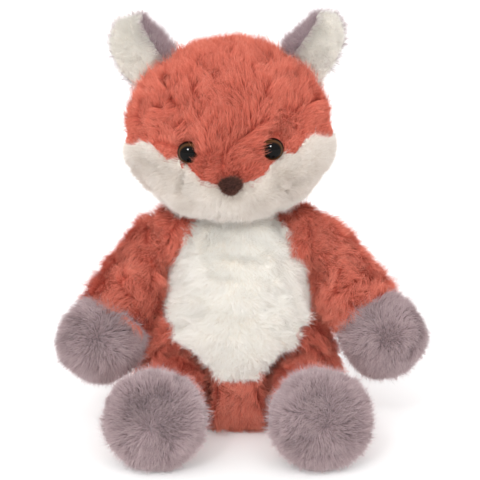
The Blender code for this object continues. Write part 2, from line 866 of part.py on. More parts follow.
def arm_inner_side(side, sign, shoulder):
    """What lies inside the arm's flat inner side, less the ball at its root."""
    reach = ARM_LENGTH * 2
    near, far = sorted((0.0, sign * ARM_INNER_SIDE))
    name = "arm_inner_side_" + side
    inner = add_cutter(name, block_mesh(name, (near, -reach, -OVERRUN), (far, reach, reach)))
    ball = add_cutter("shoulder_ball_" + side, ball_mesh("shoulder_ball_" + side, SHOULDER_BALL))
    ball.location = shoulder
    cut(inner, ball)
    return inner


def build_arm(side, sign):
    lean = -math.radians(ARM_LEAN_DEGREES)
    spread = -sign * math.radians(ARM_SPREAD_DEGREES[side])
    shoulder = (sign * SHOULDER_SPACING / 2, SHOULDER_BACK, SHOULDER_HEIGHT)
    pivot = add_pivot("shoulder_axis_" + side, shoulder, (lean, spread, 0.0))
    shape = (SHOULDER_RADIUS, ARM_LENGTH, PAW_WIDTH / 2, PAW_DEPTH / 2, ARM_RING_SHARES)
    above, below = cross_cuts("wrist_" + side, -WRIST_SHARE * ARM_LENGTH, ARM_LENGTH, pivot)
    inner = arm_inner_side(side, sign, shoulder)
    sleeve = limb_piece("arm_sleeve_" + side, shape, ORANGE_PLUSH, pivot)
    cut(sleeve, below, inner, root_hole("armhole_" + side, SHOULDER_RADIUS, pivot))
    paw = limb_piece("paw_" + side, shape, GREY_PLUSH, pivot)
    cut(paw, above)
    filling = limb_filling("arm_filling_" + side, shape, pivot)
    cut(filling, inner)


def build_leg(side, sign, floor):
    forward = -math.radians(90)
    hip_height = FOOT_FULL_SHARE * FOOT_WIDTH / 2 - FLOOR_FLAT
    hip = (sign * HIP_SPACING / 2, HIP_FORWARD, hip_height)
    splay = sign * math.radians(LEG_SPLAY_DEGREES)
    pivot = add_pivot("hip_axis_" + side, hip, (forward, 0.0, splay))
    rows = [(along, width, width) for along, width in LEG_RING_SHARES]
    shape = (HIP_RADIUS, LEG_LENGTH, FOOT_WIDTH / 2, FOOT_WIDTH / 2, rows)
    ankle = cross_cuts("ankle_" + side, -ANKLE_SHARE * LEG_LENGTH, LEG_LENGTH, pivot)
    toe = cross_cuts("toe_" + side, -SOLE_SHARE * LEG_LENGTH, LEG_LENGTH, pivot)
    leg = limb_piece("leg_sleeve_" + side, shape, ORANGE_PLUSH, pivot)
    cut(leg, ankle[1], root_hole("leghole_" + side, HIP_RADIUS, pivot), floor)
    foot = limb_piece("foot_" + side, shape, GREY_PLUSH, pivot)
    cut(foot, ankle[0], toe[1], floor)
    sole = limb_piece("sole_" + side, shape, GREY_PLUSH, pivot)
    cut(sole, toe[0], floor)
    limb_filling("leg_filling_" + side, shape, pivot)


def build_tail(floor):
    root = (0.0, TAIL_ROOT_BACK, TAIL_ROOT_HEIGHT)
    pivot = add_pivot("tail_axis", root, (math.radians(TAIL_DROP_DEGREES), 0.0, 0.0))
    rows = [(along, width, width) for along, width in TAIL_RING_SHARES]
    shape = (TAIL_ROOT_RADIUS, TAIL_LENGTH, TAIL_WIDTH / 2, TAIL_WIDTH / 2, rows)
    above, below = cross_cuts("tail_seam", -TAIL_TIP_SHARE * TAIL_LENGTH, TAIL_LENGTH, pivot)
    cover = limb_piece("tail_cover", shape, ORANGE_PLUSH, pivot)
    cut(cover, below, root_hole("tailhole", TAIL_ROOT_RADIUS, pivot), floor)
    tip = limb_piece("tail_tip", shape, CREAM_PLUSH, pivot)
    cut(tip, above, floor)
    limb_filling("tail_filling", shape, pivot)


def build_root_hollows():
    """Balls that leave the limbs' roots their room in the torso."""
    hip_height = FOOT_FULL_SHARE * FOOT_WIDTH / 2 - FLOOR_FLAT
    shoulder_room = SHOULDER_BALL / math.cos(math.pi / BALL_AROUND) + SEAM_GAP
    hollows = []
    for side, sign in (("left", 1.0), ("right", -1.0)):
        shoulder = ball_mesh("shoulder_hollow_" + side, shoulder_room)
        hollows.append(add_cutter("shoulder_hollow_" + side, shoulder))
        hollows[-1].location = (sign * SHOULDER_SPACING / 2, SHOULDER_BACK, SHOULDER_HEIGHT)
        hip = ball_mesh("hip_hollow_" + side, HIP_RADIUS + JOINT_GAP)
        hollows.append(add_cutter("hip_hollow_" + side, hip))
        hollows[-1].location = (sign * HIP_SPACING / 2, HIP_FORWARD, hip_height)
    tail = add_cutter("tail_hollow", ball_mesh("tail_hollow", TAIL_ROOT_RADIUS + SEAM_GAP))
    tail.location = (0.0, TAIL_ROOT_BACK, TAIL_ROOT_HEIGHT)
    hollows.append(tail)
    return hollows


def build_fox():
    reach = TORSO_WIDTH * 2
    floor = add_cutter("floor", block_mesh("floor", (-reach, -reach, -OVERRUN), (reach, reach, 0.0)))
    build_torso(floor, build_root_hollows())
    build_head(build_neck())
    for side, sign in (("left", 1.0), ("right", -1.0)):
        build_arm(side, sign)
        build_leg(side, sign, floor)
    build_tail(floor)


empty_scene()
FOX = new_collection("plush_fox")
CUTTERS = new_collection("cutters")
ORANGE_PLUSH = new_material("orange long-pile plush", (0.60, 0.105, 0.055), 0.95)
CREAM_PLUSH = new_material("cream plush", (0.90, 0.86, 0.78), 0.95)
GREY_PLUSH = new_material("mauve-grey plush", (0.31, 0.24, 0.25), 0.95)
BROWN_VELOUR = new_material("dark brown velour", (0.07, 0.028, 0.02), 0.9)
EYE_PLASTIC = new_material("brown eye plastic", (0.05, 0.02, 0.01), 0.1)
WHITE_PLASTIC = new_material("washer plastic", (0.85, 0.85, 0.82), 0.5)
FIBRE = new_material("polyester fibre", (0.92, 0.92, 0.90), 1.0)
COTTON = new_material("cotton bag", (0.80, 0.77, 0.70), 0.9)
build_fox()
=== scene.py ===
import math

import bmesh
import bpy
import numpy as np
from mathutils import Matrix, Vector
from mathutils.bvhtree import BVHTree
from mathutils.kdtree import KDTree


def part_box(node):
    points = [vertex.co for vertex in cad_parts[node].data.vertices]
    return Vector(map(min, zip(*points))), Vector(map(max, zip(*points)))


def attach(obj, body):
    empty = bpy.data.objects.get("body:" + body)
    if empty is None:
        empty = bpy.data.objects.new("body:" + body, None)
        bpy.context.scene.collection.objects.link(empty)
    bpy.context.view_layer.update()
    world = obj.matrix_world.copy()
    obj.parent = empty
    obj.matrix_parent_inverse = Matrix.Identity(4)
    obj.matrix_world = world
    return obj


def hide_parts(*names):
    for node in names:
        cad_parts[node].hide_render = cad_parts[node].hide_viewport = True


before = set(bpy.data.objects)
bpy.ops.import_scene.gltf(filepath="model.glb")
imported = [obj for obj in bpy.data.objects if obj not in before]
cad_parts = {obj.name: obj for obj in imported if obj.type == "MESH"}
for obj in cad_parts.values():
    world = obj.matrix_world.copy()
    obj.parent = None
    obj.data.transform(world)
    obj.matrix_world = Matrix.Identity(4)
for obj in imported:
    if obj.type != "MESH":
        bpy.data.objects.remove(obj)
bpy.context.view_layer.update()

# Lengths are in metres. The fox looks along -Y, and its own left side is +X.
MM = 0.001

# Camera, set for the photograph's angle and framing
CAMERA_ELEVATION = 12.0
CAMERA_DISTANCE = 1.3
CAMERA_TARGET = Vector((0.0, 0.0, 0.11341))
FRAME_WIDTH_AT_TARGET = 0.2976
FRAME_SHIFT_PIXELS = 2.0
FRAME_PIXELS = 480
SENSOR_WIDTH = 36.0

# Skins: the backing cloth under the pile, swelled by the filling between its seams
SKIN_VOXEL = 2.8 * MM
EAR_VOXEL = 1.2 * MM
SMOOTHING_STEPS = 6
STUFFING_FRAMES = 16
STUFFING_REACH = 2.6 * MM
SEAM_HALF_WIDTH = 1.6 * MM
STUFFING_CLOTH = {
    "quality": 4, "mass": 0.3, "tension_stiffness": 12.0, "compression_stiffness": 12.0,
    "shear_stiffness": 5.0, "bending_stiffness": 0.4, "shrink_min": -0.05, "use_pressure": True,
    "uniform_pressure_force": 4.0, "vertex_group_mass": "seams"}

# How deep each panel's backing lies under its CAD surface, which is the pile's outside
BACKING_DEPTH = {
    "torso_cover": 3.4 * MM, "belly_panel": 3.6 * MM, "head_cover": 4.0 * MM, "cheek_panel": 1.8 * MM,
    "nose_pad": 0.5 * MM, "tail_cover": 3.4 * MM, "tail_tip": 3.4 * MM, "arm_sleeve": 2.8 * MM,
    "paw": 3.0 * MM, "leg_sleeve": 6.0 * MM, "foot": 3.8 * MM, "sole": 3.8 * MM,
    "ear_front": 2.0 * MM, "ear_back": 2.2 * MM}

# Pile: the most faces in one piece of it, where its fibres start and end, and how far they lean
FACES_A_PIECE = 190000
PANEL_MARGIN = 4 * MM
ROOT_DEPTH = 0.4 * MM
FLOOR_GAP = 0.1 * MM
MOST_UPRIGHT = math.radians(6.0)
MOST_LAID = math.radians(78.0)

# How fibres differ: locks, then single fibres, as shares of the pile's own length and width
LOCK_LENGTHS = (0.78, 1.16)
SHORTEST_FIBRE = 0.78
LONGEST_ADDS = 0.85
FIBRE_WIDTHS = (0.7, 1.2)
LOCK_SPREAD = 0.14
BLADE_TWIST = 0.35

# How their tones differ: 0 is the dark end of a material, 1 its light end
BASE_TONE = 0.18
CLUMP_TONE = 0.18
LOCK_TONE = 0.22
FIBRE_TONE = 0.24
BROAD_TONE = 0.10
BROAD_SIZE = 45 * MM
# Painted light: how much paler the arms' pile is toned, to lift the shade on them
ARM_PAINTED_LIGHT = 0.36

# Light: the world's level, and how much the floor's paper is lifted to white where it is seen
WORLD_LIGHT = 0.66
PAPER_LIFT = 0.22
FLOOR_REACH = 8.0

# Lamps: name, height, bearing and width in degrees, strength, and kind. A matt one lights every
# surface but isn't mirrored, and a gloss one is only mirrored, as the spot of light in each eye
LAMPS = (
    ("key", 42, -12, 60, 0.85, "matt"),
    ("fill", 10, 5, 80, 1.15, "matt"),
    ("spot", 32, -14, 8, 0.50, "matt"),
    ("back", 30, 180, 90, 0.5, "matt"),
    ("catch light", 32, -14, 14, 4.0, "gloss"))

# Shoulders: a wad of filling on each side, and how far torso and arm swell to meet
WAD_ACROSS = 34 * MM
WAD_HEIGHT = 118 * MM
WAD_RADII = (17 * MM, 18 * MM, 16 * MM)
SHOULDER_REACH = 16 * MM
TORSO_MEETS_ARM = 5.0 * MM
ARM_MEETS_TORSO = 4.0 * MM

# The lap: painted light, which tones the pile paler between the legs, where it lies in shade. The effect is
# full below 29 mm and gone by 61 mm, and only at the front. Then how wide the belly's pile fans out
LAP_PAINTED_LIGHT = 0.60
LAP_TOP = 1.9
LAP_HEIGHT = 32 * MM
LAP_FRONT = -20 * MM
BELLY_FAN = 26 * MM

# Head: its lean, the drop of its chin, its fuller side, and the dart in one cheek
HEAD_ROLL_DEGREES = -2.3
MUZZLE_LIFT = 1.3 * MM
MUZZLE_REACH = 20 * MM
CHIN_DROP = 3.0 * MM
CHIN_REACH = 22 * MM
CHIN_BACK = 10 * MM
SIDE_SWELL = 2.4 * MM
SIDE_START = 40 * MM
SIDE_REACH = 25 * MM
DART_DEPTH = 2.6 * MM
DART_WIDTH = 2.0 * MM
DART_SHADE_WIDTH = 1.5 * MM
FACE_FRONT = -15 * MM
EYE_FRONT = -20 * MM

# Each ear's tip: how far its fold leans out and sinks, and how far its outer corner stands up
EAR_LEAN = {"left": (9 * MM, 5 * MM, 2 * MM), "right": (1.5 * MM, 3 * MM, 3 * MM)}
EAR_ROOT_REACH = 12 * MM
EAR_ROOT_PULL = 6 * MM
EAR_WHORL_INWARD = 6 * MM
EAR_WHORL_UNDER = 10 * MM

# Where the pile of a paw spreads from, and how far beyond the sole that of a foot does
PAW_WHORL = (0.0, -20 * MM, 4 * MM)
FOOT_WHORL = 10 * MM

NOSE_VOXEL = 0.5 * MM
NOSE_WIDENING = 1.06
NOSE_LIFT = 1.2 * MM

# Eyes: a turned dome, and where its iris is printed
EYE_TURN_DEGREES = 20.0
EYE_STEPS = 12
EYE_AROUND = 48
EYE_RADIUS = 6.6 * MM
EYE_DOME = 5.6 * MM
EYE_RIM = 1.2 * MM
EYE_SINK = 1.8 * MM
IRIS_DROP = 0.9 * MM
IRIS_INWARD = 1.3 * MM

# The bridge of the nose bulges beside the eyes: how far from the rim, how wide and how high, and
# its pile's least length and how far that pile may start under the eye
BRIDGE_INWARD = 1.0 * MM
BRIDGE_REACH = 5.0 * MM
BRIDGE_SWELL = 3.2 * MM
BRIDGE_LENGTH = 0.70
BRIDGE_OVER_EYE = 2.4 * MM

# Clipping of the face: shares of the full length at an eye, between the eyes, at the cheek seam,
# behind and at the dart, and how far from each the pile grows back to its full length
UNDER_EYE_RIM = 1.2 * MM
BETWEEN_EYES = 26 * MM
COVER_AT_EYE, COVER_BETWEEN, COVER_EYE_REACH = 0.40, 0.75, 11 * MM
COVER_AT_SEAM, COVER_SEAM_REACH, COVER_BEHIND = 0.28, 24 * MM, 0.42
CHEEK_AT_EYE, CHEEK_EYE_REACH = 0.5, 9 * MM
CHEEK_AT_DART, CHEEK_DART_REACH = 0.6, 6 * MM
# Painted shade: how much darker the pile is toned in the dart's groove
DART_PAINTED_SHADE = -0.9

rng = np.random.default_rng(7)


# Small tools

def linear(hex_colour):
    """sRGB hex to linear RGBA."""
    values = [int(hex_colour[i:i + 2], 16) / 255 for i in (1, 3, 5)]
    return (*[v / 12.92 if v <= 0.04045 else ((v + 0.055) / 1.055) ** 2.4 for v in values], 1.0)


def add_node(tree, kind, settings=None, links=()):
    """One node with its settings; each link is (input, node, output).

    A Mix node's inputs go by number, because several have one name: 0 is the factor, 6 and 7 the colours.
    """
    node = tree.nodes.new(kind)
    for name, value in (settings or {}).items():
        if hasattr(node, name) and name not in node.inputs:
            setattr(node, name, value)
        else:
            node.inputs[name].default_value = value
    for socket, source, output in links:
        tree.links.new(source.outputs[output], node.inputs[socket])
    return node


def new_material(name):
    """A material with its tree and its Principled shader."""
    material = bpy.data.materials.new(name)
    material.use_nodes = True
    tree = material.node_tree
    return material, tree, tree.nodes["Principled BSDF"]


def ramp_stops(ramp, stops):
    """Colour stops on a ramp node, as (place, hex colour)."""
    stops = list(stops)
    elements = ramp.color_ramp.elements
    while len(elements) < len(stops):
        elements.new(0.5)
    for element, (place, colour) in zip(elements, stops):
        element.position = place
        element.color = linear(colour)
    return ramp


def unit(vectors):
    """Each vector with length one."""
    return vectors / np.maximum(np.linalg.norm(vectors, axis=1, keepdims=True), 1e-12)


def along_surface(vectors, normals):
    """The part of each vector that lies in the surface, with length one."""
    flat = vectors - normals * np.sum(vectors * normals, axis=1, keepdims=True)
    return unit(flat)


def wave_noise(points, wavelength, seed, waves=7):
    """Smooth vector noise from a few seeded sine waves."""
    source = np.random.default_rng(seed)
    total = np.zeros_like(points)
    for _ in range(waves):
        direction = source.normal(size=3)
        direction /= np.linalg.norm(direction)
        scale = 2 * math.pi / (wavelength * source.uniform(0.7, 1.5))
        phase = source.uniform(0, 2 * math.pi)
        push = source.normal(size=3)
        total += np.sin(points @ direction * scale + phase)[:, None] * push
    return total / math.sqrt(waves)


# Materials

# Where a fibre's four colours lie along it, from root to tip; the darker ones at the root are painted shade
ROOT_SHADE_STOPS = (0.0, 0.35, 0.75, 1.0)


def pile_material(name, dark, light, sheen):
    """Dyed polyester pile: each fibre goes from painted shade at its root, standing for the shadow deep in
    the pile, to its brighter tip.

    The map's U is the fibre's own tone, between the dark and the light colours, and its V runs from
    root to tip.
    """
    material, tree, shader = new_material(name)
    place = add_node(tree, "ShaderNodeUVMap", {"uv_map": "OFBake"})
    split = add_node(tree, "ShaderNodeSeparateXYZ", links=[("Vector", place, "UV")])
    low, high = [
        ramp_stops(add_node(tree, "ShaderNodeValToRGB", links=[("Fac", split, "Y")]),
                   zip(ROOT_SHADE_STOPS, colours))
        for colours in (dark, light)]
    mixed = add_node(tree, "ShaderNodeMix", {"data_type": "RGBA"},
                     [(0, split, "X"), (6, low, "Color"), (7, high, "Color")])
    tree.links.new(mixed.outputs[2], shader.inputs["Base Color"])
    shader.inputs["Roughness"].default_value = 0.8
    shader.inputs["Specular IOR Level"].default_value = 0.1
    shader.inputs["Sheen Weight"].default_value = sheen
    shader.inputs["Sheen Roughness"].default_value = 0.5
    shader.inputs["Sheen Tint"].default_value = linear(light[-1])
    return material


def backing_material(name, low, high, scale_mm):
    """Backing cloth, fibre or plastic with a fine mottle and bump, whose grain is scale_mm wide."""
    material, tree, shader = new_material(name)
    coords = add_node(tree, "ShaderNodeTexCoord")
    speckle = add_node(
        tree, "ShaderNodeTexNoise", {"Scale": 1000.0 / scale_mm, "Detail": 3.0},
        [("Vector", coords, "Object")])
    ramp = ramp_stops(add_node(tree, "ShaderNodeValToRGB", links=[("Fac", speckle, "Fac")]),
                      [(0.3, low), (0.7, high)])
    tree.links.new(ramp.outputs["Color"], shader.inputs["Base Color"])
    bump = add_node(
        tree, "ShaderNodeBump", {"Strength": 0.6, "Distance": 0.4 * MM}, [("Height", speckle, "Fac")])
    tree.links.new(bump.outputs["Normal"], shader.inputs["Normal"])
    shader.inputs["Roughness"].default_value = 0.95
    shader.inputs["Specular IOR Level"].default_value = 0.15
    return material


# Long polyester plush, crushed after weaving: dark between its locks, where painted shade at the fibres'
# roots shows, and pale at its tips
ORANGE_PILE = pile_material(
    "Orange crushed plush pile",
    ("#96443A", "#C85B49", "#E47862", "#EE8A73"),
    ("#AA5044", "#DB715D", "#F3937C", "#FBB6A1"), 0.2)
# The same plush left undyed: soft dimples, hardly any shade between the fibres
BELLY_PILE = pile_material(
    "Cream crushed plush pile",
    ("#F5EFE5", "#FBF7EF", "#FDFAF3", "#FEFCF7"),
    ("#F9F4EC", "#FDFAF4", "#FFFDF8", "#FFFFFC"), 0.1)
# Short sheared plush: an even, velvety face with painted shade, in warmer colours, at its roots
CHEEK_PILE = pile_material(
    "Cream short plush pile",
    ("#CBBDB0", "#E5DACF", "#F1E8DF", "#F6F0E9"),
    ("#DED2C7", "#F2EAE1", "#FAF5EE", "#FFFCF8"), 0.1)
# Dense upright plush of paws and feet: it bristles out from a whorl in a frosted halo
GREY_PILE = pile_material(
    "Mauve-grey plush pile",
    ("#745F61", "#A48E91", "#BDA8AA", "#C9B5B7"),
    ("#876F71", "#B9A2A4", "#D4BFC1", "#E6D5D6"), 0.2)
# The ears' backs, of a shorter pile in the same dye: a little duller and cooler
EAR_GREY_PILE = pile_material(
    "Mauve-grey short plush pile",
    ("#7A666A", "#A89297", "#BCA7AB", "#C8B4B8"),
    ("#8A767A", "#BAA4A9", "#D0BCC0", "#E2D2D5"), 0.2)
# Velour, cut very short: speckled, with painted light at its tips and painted shade at its roots
NOSE_PILE = pile_material(
    "Dark brown velour pile",
    ("#2A1713", "#3E2620", "#4C302A", "#5A3A31"),
    ("#3E251E", "#6A463B", "#8A5E51", "#A87869"), 0.1)

# Knitted polyester backing, seen only as a ground colour where the pile parts. Its mottle is a few
# stitches wide, since single stitches are too fine to show
ORANGE_BACKING = backing_material("Orange knitted backing", "#9A4035", "#C9604C", 1.6)
CREAM_BACKING = backing_material("Cream knitted backing", "#EFE6DA", "#FAF5ED", 1.6)
GREY_BACKING = backing_material("Mauve-grey knitted backing", "#75666A", "#97878A", 1.6)
BROWN_BACKING = backing_material("Dark brown knitted backing", "#2B1815", "#452B26", 0.8)
# Inside, all out of sight. Carded polyester: a soft white mass
FIBRE = backing_material("Loose polyester fibre", "#D9D9D6", "#F0F0EE", 1.2)
# Plain-woven cotton: unbleached, with a fine grain
COTTON = backing_material("Woven cotton bag", "#C9C1B0", "#E0D9CA", 0.8)
# Moulded plastic: milky white and even
WASHER = backing_material("Moulded washer plastic", "#E2E2DF", "#EDEDEB", 3.0)


# Forms and skins

def node_copy(names, wads):
    """One mesh from copies of CAD nodes and of wads (place, radii), for a form's outside."""
    bm = bmesh.new()
    for name in names:
        bm.from_mesh(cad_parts[name].data)
    for place, radii in wads:
        bmesh.ops.create_icosphere(
            bm, subdivisions=3, radius=1.0, matrix=Matrix.LocRotScale(Vector(place), None, Vector(radii)))
    mesh = bpy.data.meshes.new("form")
    bm.to_mesh(mesh)
    bm.free()
    return mesh


def largest_body(mesh):
    """Removes all but the biggest connected body of a mesh."""
    bm = bmesh.new()
    bm.from_mesh(mesh)
    seen = set()
    groups = []
    for vertex in bm.verts:
        if vertex in seen:
            continue
        group = [vertex]
        seen.add(vertex)
        for item in group:
            for edge in item.link_edges:
                other = edge.other_vert(item)
                if other not in seen:
                    seen.add(other)
                    group.append(other)
        groups.append(group)
    groups.sort(key=len, reverse=True)
    for group in groups[1:]:
        bmesh.ops.delete(bm, geom=group, context="VERTS")
    bm.to_mesh(mesh)
    bm.free()


def closed_form(names, voxel, steps=SMOOTHING_STEPS, wads=()):
    """The rounded outside of some CAD nodes and wads of filling taken together, as one closed mesh."""
    guide = bpy.data.objects.new("guide", node_copy(names, wads))
    bpy.context.scene.collection.objects.link(guide)
    remesh = guide.modifiers.new("Remesh", "REMESH")
    remesh.mode = "VOXEL"
    remesh.voxel_size = voxel
    smooth = guide.modifiers.new("Smooth", "SMOOTH")
    smooth.factor = 0.5
    smooth.iterations = steps
    evaluated = guide.evaluated_get(bpy.context.evaluated_depsgraph_get())
    mesh = bpy.data.meshes.new_from_object(evaluated)
    bpy.data.objects.remove(guide, do_unlink=True)
    largest_body(mesh)
    return mesh


def arrays(mesh):
    """Vertices, triangles and vertex normals of a mesh."""
    count = len(mesh.vertices)
    places = np.empty(count * 3)
    mesh.vertices.foreach_get("co", places)
    normals = np.empty(count * 3)
    mesh.vertices.foreach_get("normal", normals)
    mesh.calc_loop_triangles()
    triangles = np.empty(len(mesh.loop_triangles) * 3, dtype=np.int32)
    mesh.loop_triangles.foreach_get("vertices", triangles)
    return places.reshape(-1, 3), triangles.reshape(-1, 3), normals.reshape(-1, 3)


def set_places(mesh, places):
    """Moves a mesh's vertices."""
    mesh.vertices.foreach_set("co", places.ravel())
    mesh.update()


def node_tree_of(name):
    """A search tree of a CAD node's faces."""
    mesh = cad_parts[name].data
    return BVHTree.FromPolygons(
        [v.co for v in mesh.vertices], [tuple(p.vertices) for p in mesh.polygons])


def front_gaps(points, names, cover):
    """Gaps of a form that wads make wider: the front shows each panel as far as its CAD outline goes."""
    trees = [node_tree_of(name) for name in names]
    moved = points.copy()
    missed = np.zeros(len(points), dtype=bool)
    for index, point in enumerate(points):
        if point[1] > 0:
            continue
        start = Vector((point[0], -1.0, point[2]))
        hits = [tree.ray_cast(start, Vector((0.0, 1.0, 0.0)))[0] for tree in trees]
        hits = [hit for hit in hits if hit is not None]
        missed[index] = not hits
        if hits:
            moved[index] = min(hits, key=lambda hit: hit.y)
    gaps = panel_gaps(moved, names)
    gaps[missed, names.index(cover)] = 0.0
    return gaps


def panel_gaps(points, names):
    """Each point's distance from each of some CAD nodes."""
    trees = [node_tree_of(name) for name in names]
    return np.array([[tree.find_nearest(Vector(point))[3] for tree in trees] for point in points])


def add_piece(name, mesh, body, materials):
    """A named piece of the visible fox, riding on its body."""
    piece = bpy.data.objects.new(name, mesh)
    bpy.context.scene.collection.objects.link(piece)
    mesh.materials.clear()
    for material in materials:
        mesh.materials.append(material)
    mesh.shade_smooth()
    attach(piece, body)
    return piece


# Pile

def strand_mesh(name, strands):
    """Tapered blades as one mesh. strands holds each blade's spine, side, width and tone."""
    spine, side, widths, tones = strands
    count = len(widths)
    segments = len(spine) - 1
    per = segments * 2 + 1
    places = np.empty((count, per, 3), dtype=np.float32)
    marks = np.empty((count, per, 2), dtype=np.float32)
    for index in range(segments):
        share = index / segments
        half = (widths * (1.0 - 0.5 * share) / 2)[:, None]
        places[:, index * 2] = spine[index] - side * half
        places[:, index * 2 + 1] = spine[index] + side * half
        marks[:, index * 2, 0] = tones - 0.02
        marks[:, index * 2 + 1, 0] = tones + 0.02
        marks[:, index * 2:index * 2 + 2, 1] = share
    places[:, per - 1] = spine[-1]
    marks[:, per - 1, 0] = tones
    marks[:, per - 1, 1] = 1.0

    pattern = []
    for index in range(segments - 1):
        first = index * 2
        pattern += [first, first + 1, first + 3, first + 2]
    last = (segments - 1) * 2
    pattern = np.array(pattern + [last, last + 1, per - 1], dtype=np.int32)
    sizes = np.array([4] * (segments - 1) + [3], dtype=np.int32)
    offsets = (np.arange(count, dtype=np.int32) * per)[:, None]
    corners = (pattern[None, :] + offsets).ravel()
    face_sizes = np.tile(sizes, count)
    starts = np.concatenate([[0], np.cumsum(face_sizes)[:-1]]).astype(np.int32)

    places[:, :, 2] = np.maximum(places[:, :, 2], FLOOR_GAP)
    mesh = bpy.data.meshes.new(name)
    mesh.vertices.add(count * per)
    mesh.vertices.foreach_set("co", places.ravel())
    mesh.loops.add(len(corners))
    mesh.loops.foreach_set("vertex_index", corners)
    mesh.polygons.add(len(face_sizes))
    mesh.polygons.foreach_set("loop_start", starts)
    mesh.update(calc_edges=True)
    layer = mesh.uv_layers.new(name="OFBake")
    layer.data.foreach_set("uv", marks.reshape(-1, 2)[corners].ravel())
    mesh.shade_smooth()
    return mesh


def scatter(form, pile, panel, clear):
    """Random roots on a form's panel, with the way that the skin faces there."""
    places, triangles, normals = form["places"], form["triangles"], form["normals"]
    corners = places[triangles]
    across = np.cross(corners[:, 1] - corners[:, 0], corners[:, 2] - corners[:, 0])
    area = np.linalg.norm(across, axis=1) / 2
    gaps = form["gaps"][triangles]
    beyond = np.min(gaps[:, :, panel] - np.min(gaps, axis=2), axis=1)
    area[beyond > PANEL_MARGIN] = 0.0
    density = pile["density"] * 1.0
    count = int(area.sum() / (MM * MM) * density)
    pick = rng.choice(len(area), size=count, p=area / area.sum())
    a = rng.random(count)
    b = rng.random(count)
    over = a + b > 1
    a[over] = 1 - a[over]
    b[over] = 1 - b[over]
    weights = np.stack([1 - a - b, a, b], axis=1)[:, :, None]
    roots = np.sum(corners[pick] * weights, axis=1)
    facing = unit(np.sum(normals[triangles[pick]] * weights, axis=1))
    gaps = np.sum(form["gaps"][triangles[pick]] * weights, axis=1)
    chosen = np.argmin(gaps, axis=1) == panel
    if clear is not None:
        chosen &= clear(roots)
    return roots[chosen], facing[chosen]


def nearest_centres(roots, count, seed):
    """Each root's nearest of some centres picked among the roots, and its offset from it."""
    source = np.random.default_rng(seed)
    centres = source.choice(len(roots), size=max(4, min(count, len(roots))), replace=False)
    tree = KDTree(len(centres))
    for index, centre in enumerate(centres):
        tree.insert(Vector(roots[centre]), index)
    tree.balance()
    nearest = np.array([tree.find(Vector(root))[1] for root in roots])
    return nearest, roots - roots[centres][nearest], len(centres)


def comb(roots, facing, pile, flow):
    """Spines, sides, widths and tones of the blades on some roots.

    Locks are large clumps that lie one way, and within them small clumps share a tip.
    """
    count = len(roots)
    seed = pile["seed"]
    source = np.random.default_rng(seed)
    full = count / pile["density"] / 1.0
    lock_of, lock_offset, locks = nearest_centres(roots, int(full / (pile["lock"] / MM) ** 2), seed)
    clump_of, clump_offset, clumps = nearest_centres(
        roots, int(full / (pile["clump"] / MM) ** 2), seed + 1)

    swirl = wave_noise(roots, pile["swirl_size"], seed)
    lean = along_surface(flow(roots, facing) + swirl * pile["swirl"], facing)
    lock_push = source.normal(size=(locks, 3))[lock_of] * pile["lock_push"]
    clump_push = source.normal(size=(clumps, 3))[clump_of] * pile["clump_push"]
    stray = source.normal(size=(count, 3)) * pile["stray"]
    lean = along_surface(lean + lock_push + clump_push + stray, facing)

    lengths = pile["length"] * source.uniform(*LOCK_LENGTHS, locks)[lock_of]
    lengths = lengths * (SHORTEST_FIBRE + LONGEST_ADDS * source.random(count) ** 6)
    if "length_at" in pile:
        lengths = lengths * pile["length_at"](roots)
    pull = -(lock_offset * pile["lock_pull"] + clump_offset * pile["clump_pull"])
    pull *= (lengths / pile["length"])[:, None]
    widths = pile["width"] * source.uniform(*FIBRE_WIDTHS, count)
    spread = source.normal(0.0, pile["spread"], count) + source.normal(0.0, LOCK_SPREAD, locks)[lock_of]

    segments = len(pile["angles"])
    spine = [roots - facing * ROOT_DEPTH]
    for index, angle in enumerate(pile["angles"]):
        bend = np.clip(math.radians(angle) + spread, MOST_UPRIGHT, MOST_LAID)[:, None]
        direction = facing * np.cos(bend) + lean * np.sin(bend)
        drawn = ((index + 1) / segments) ** 2 - (index / segments) ** 2
        spine.append(spine[-1] + direction * (lengths / segments)[:, None] + pull * drawn)
    run = unit(spine[-1] - spine[0])
    side = unit(np.cross(run, facing))
    twist = source.normal(0.0, BLADE_TWIST, count)[:, None]
    side = side * np.cos(twist) + np.cross(side, run) * np.sin(twist)

    broad = wave_noise(roots, BROAD_SIZE, seed + 5)[:, 0] * BROAD_TONE
    tones = (BASE_TONE + CLUMP_TONE * source.random(clumps)[clump_of]
             + LOCK_TONE * source.random(locks)[lock_of] + FIBRE_TONE * source.random(count) + broad)
    # tone_at adds painted light and shade at some places: the lap, the arms and the dart
    if "tone_at" in pile:
        tones = tones + pile["tone_at"](roots)
    return spine, side, widths, np.clip(tones, 0.03, 0.97)


def backing_depth(node):
    """How deep a panel's backing lies; the left and the right one are alike."""
    return BACKING_DEPTH[node.removesuffix("_left").removesuffix("_right")]


def form_of(names, voxel, panels, steps=SMOOTHING_STEPS, wads=()):
    """A closed form round some CAD nodes, sunk to its panels' backing."""
    mesh = closed_form(names, voxel, steps, wads)
    places, _, normals = arrays(mesh)
    gaps = front_gaps(places, panels, panels[0]) if wads else panel_gaps(places, panels)
    depth = np.array([backing_depth(name) for name in panels])[np.argmin(gaps, axis=1)]
    edges = np.empty(len(mesh.edges) * 2, dtype=np.int32)
    mesh.edges.foreach_get("vertices", edges)
    edges = edges.reshape(-1, 2)
    links = np.bincount(edges.ravel(), minlength=len(places))
    for _ in range(4):
        total = np.zeros(len(places))
        np.add.at(total, edges[:, 0], depth[edges[:, 1]])
        np.add.at(total, edges[:, 1], depth[edges[:, 0]])
        depth = total / np.maximum(links, 1)
    set_places(mesh, places - normals * depth[:, None])
    return {"mesh": mesh, "panels": panels, "gaps": gaps}


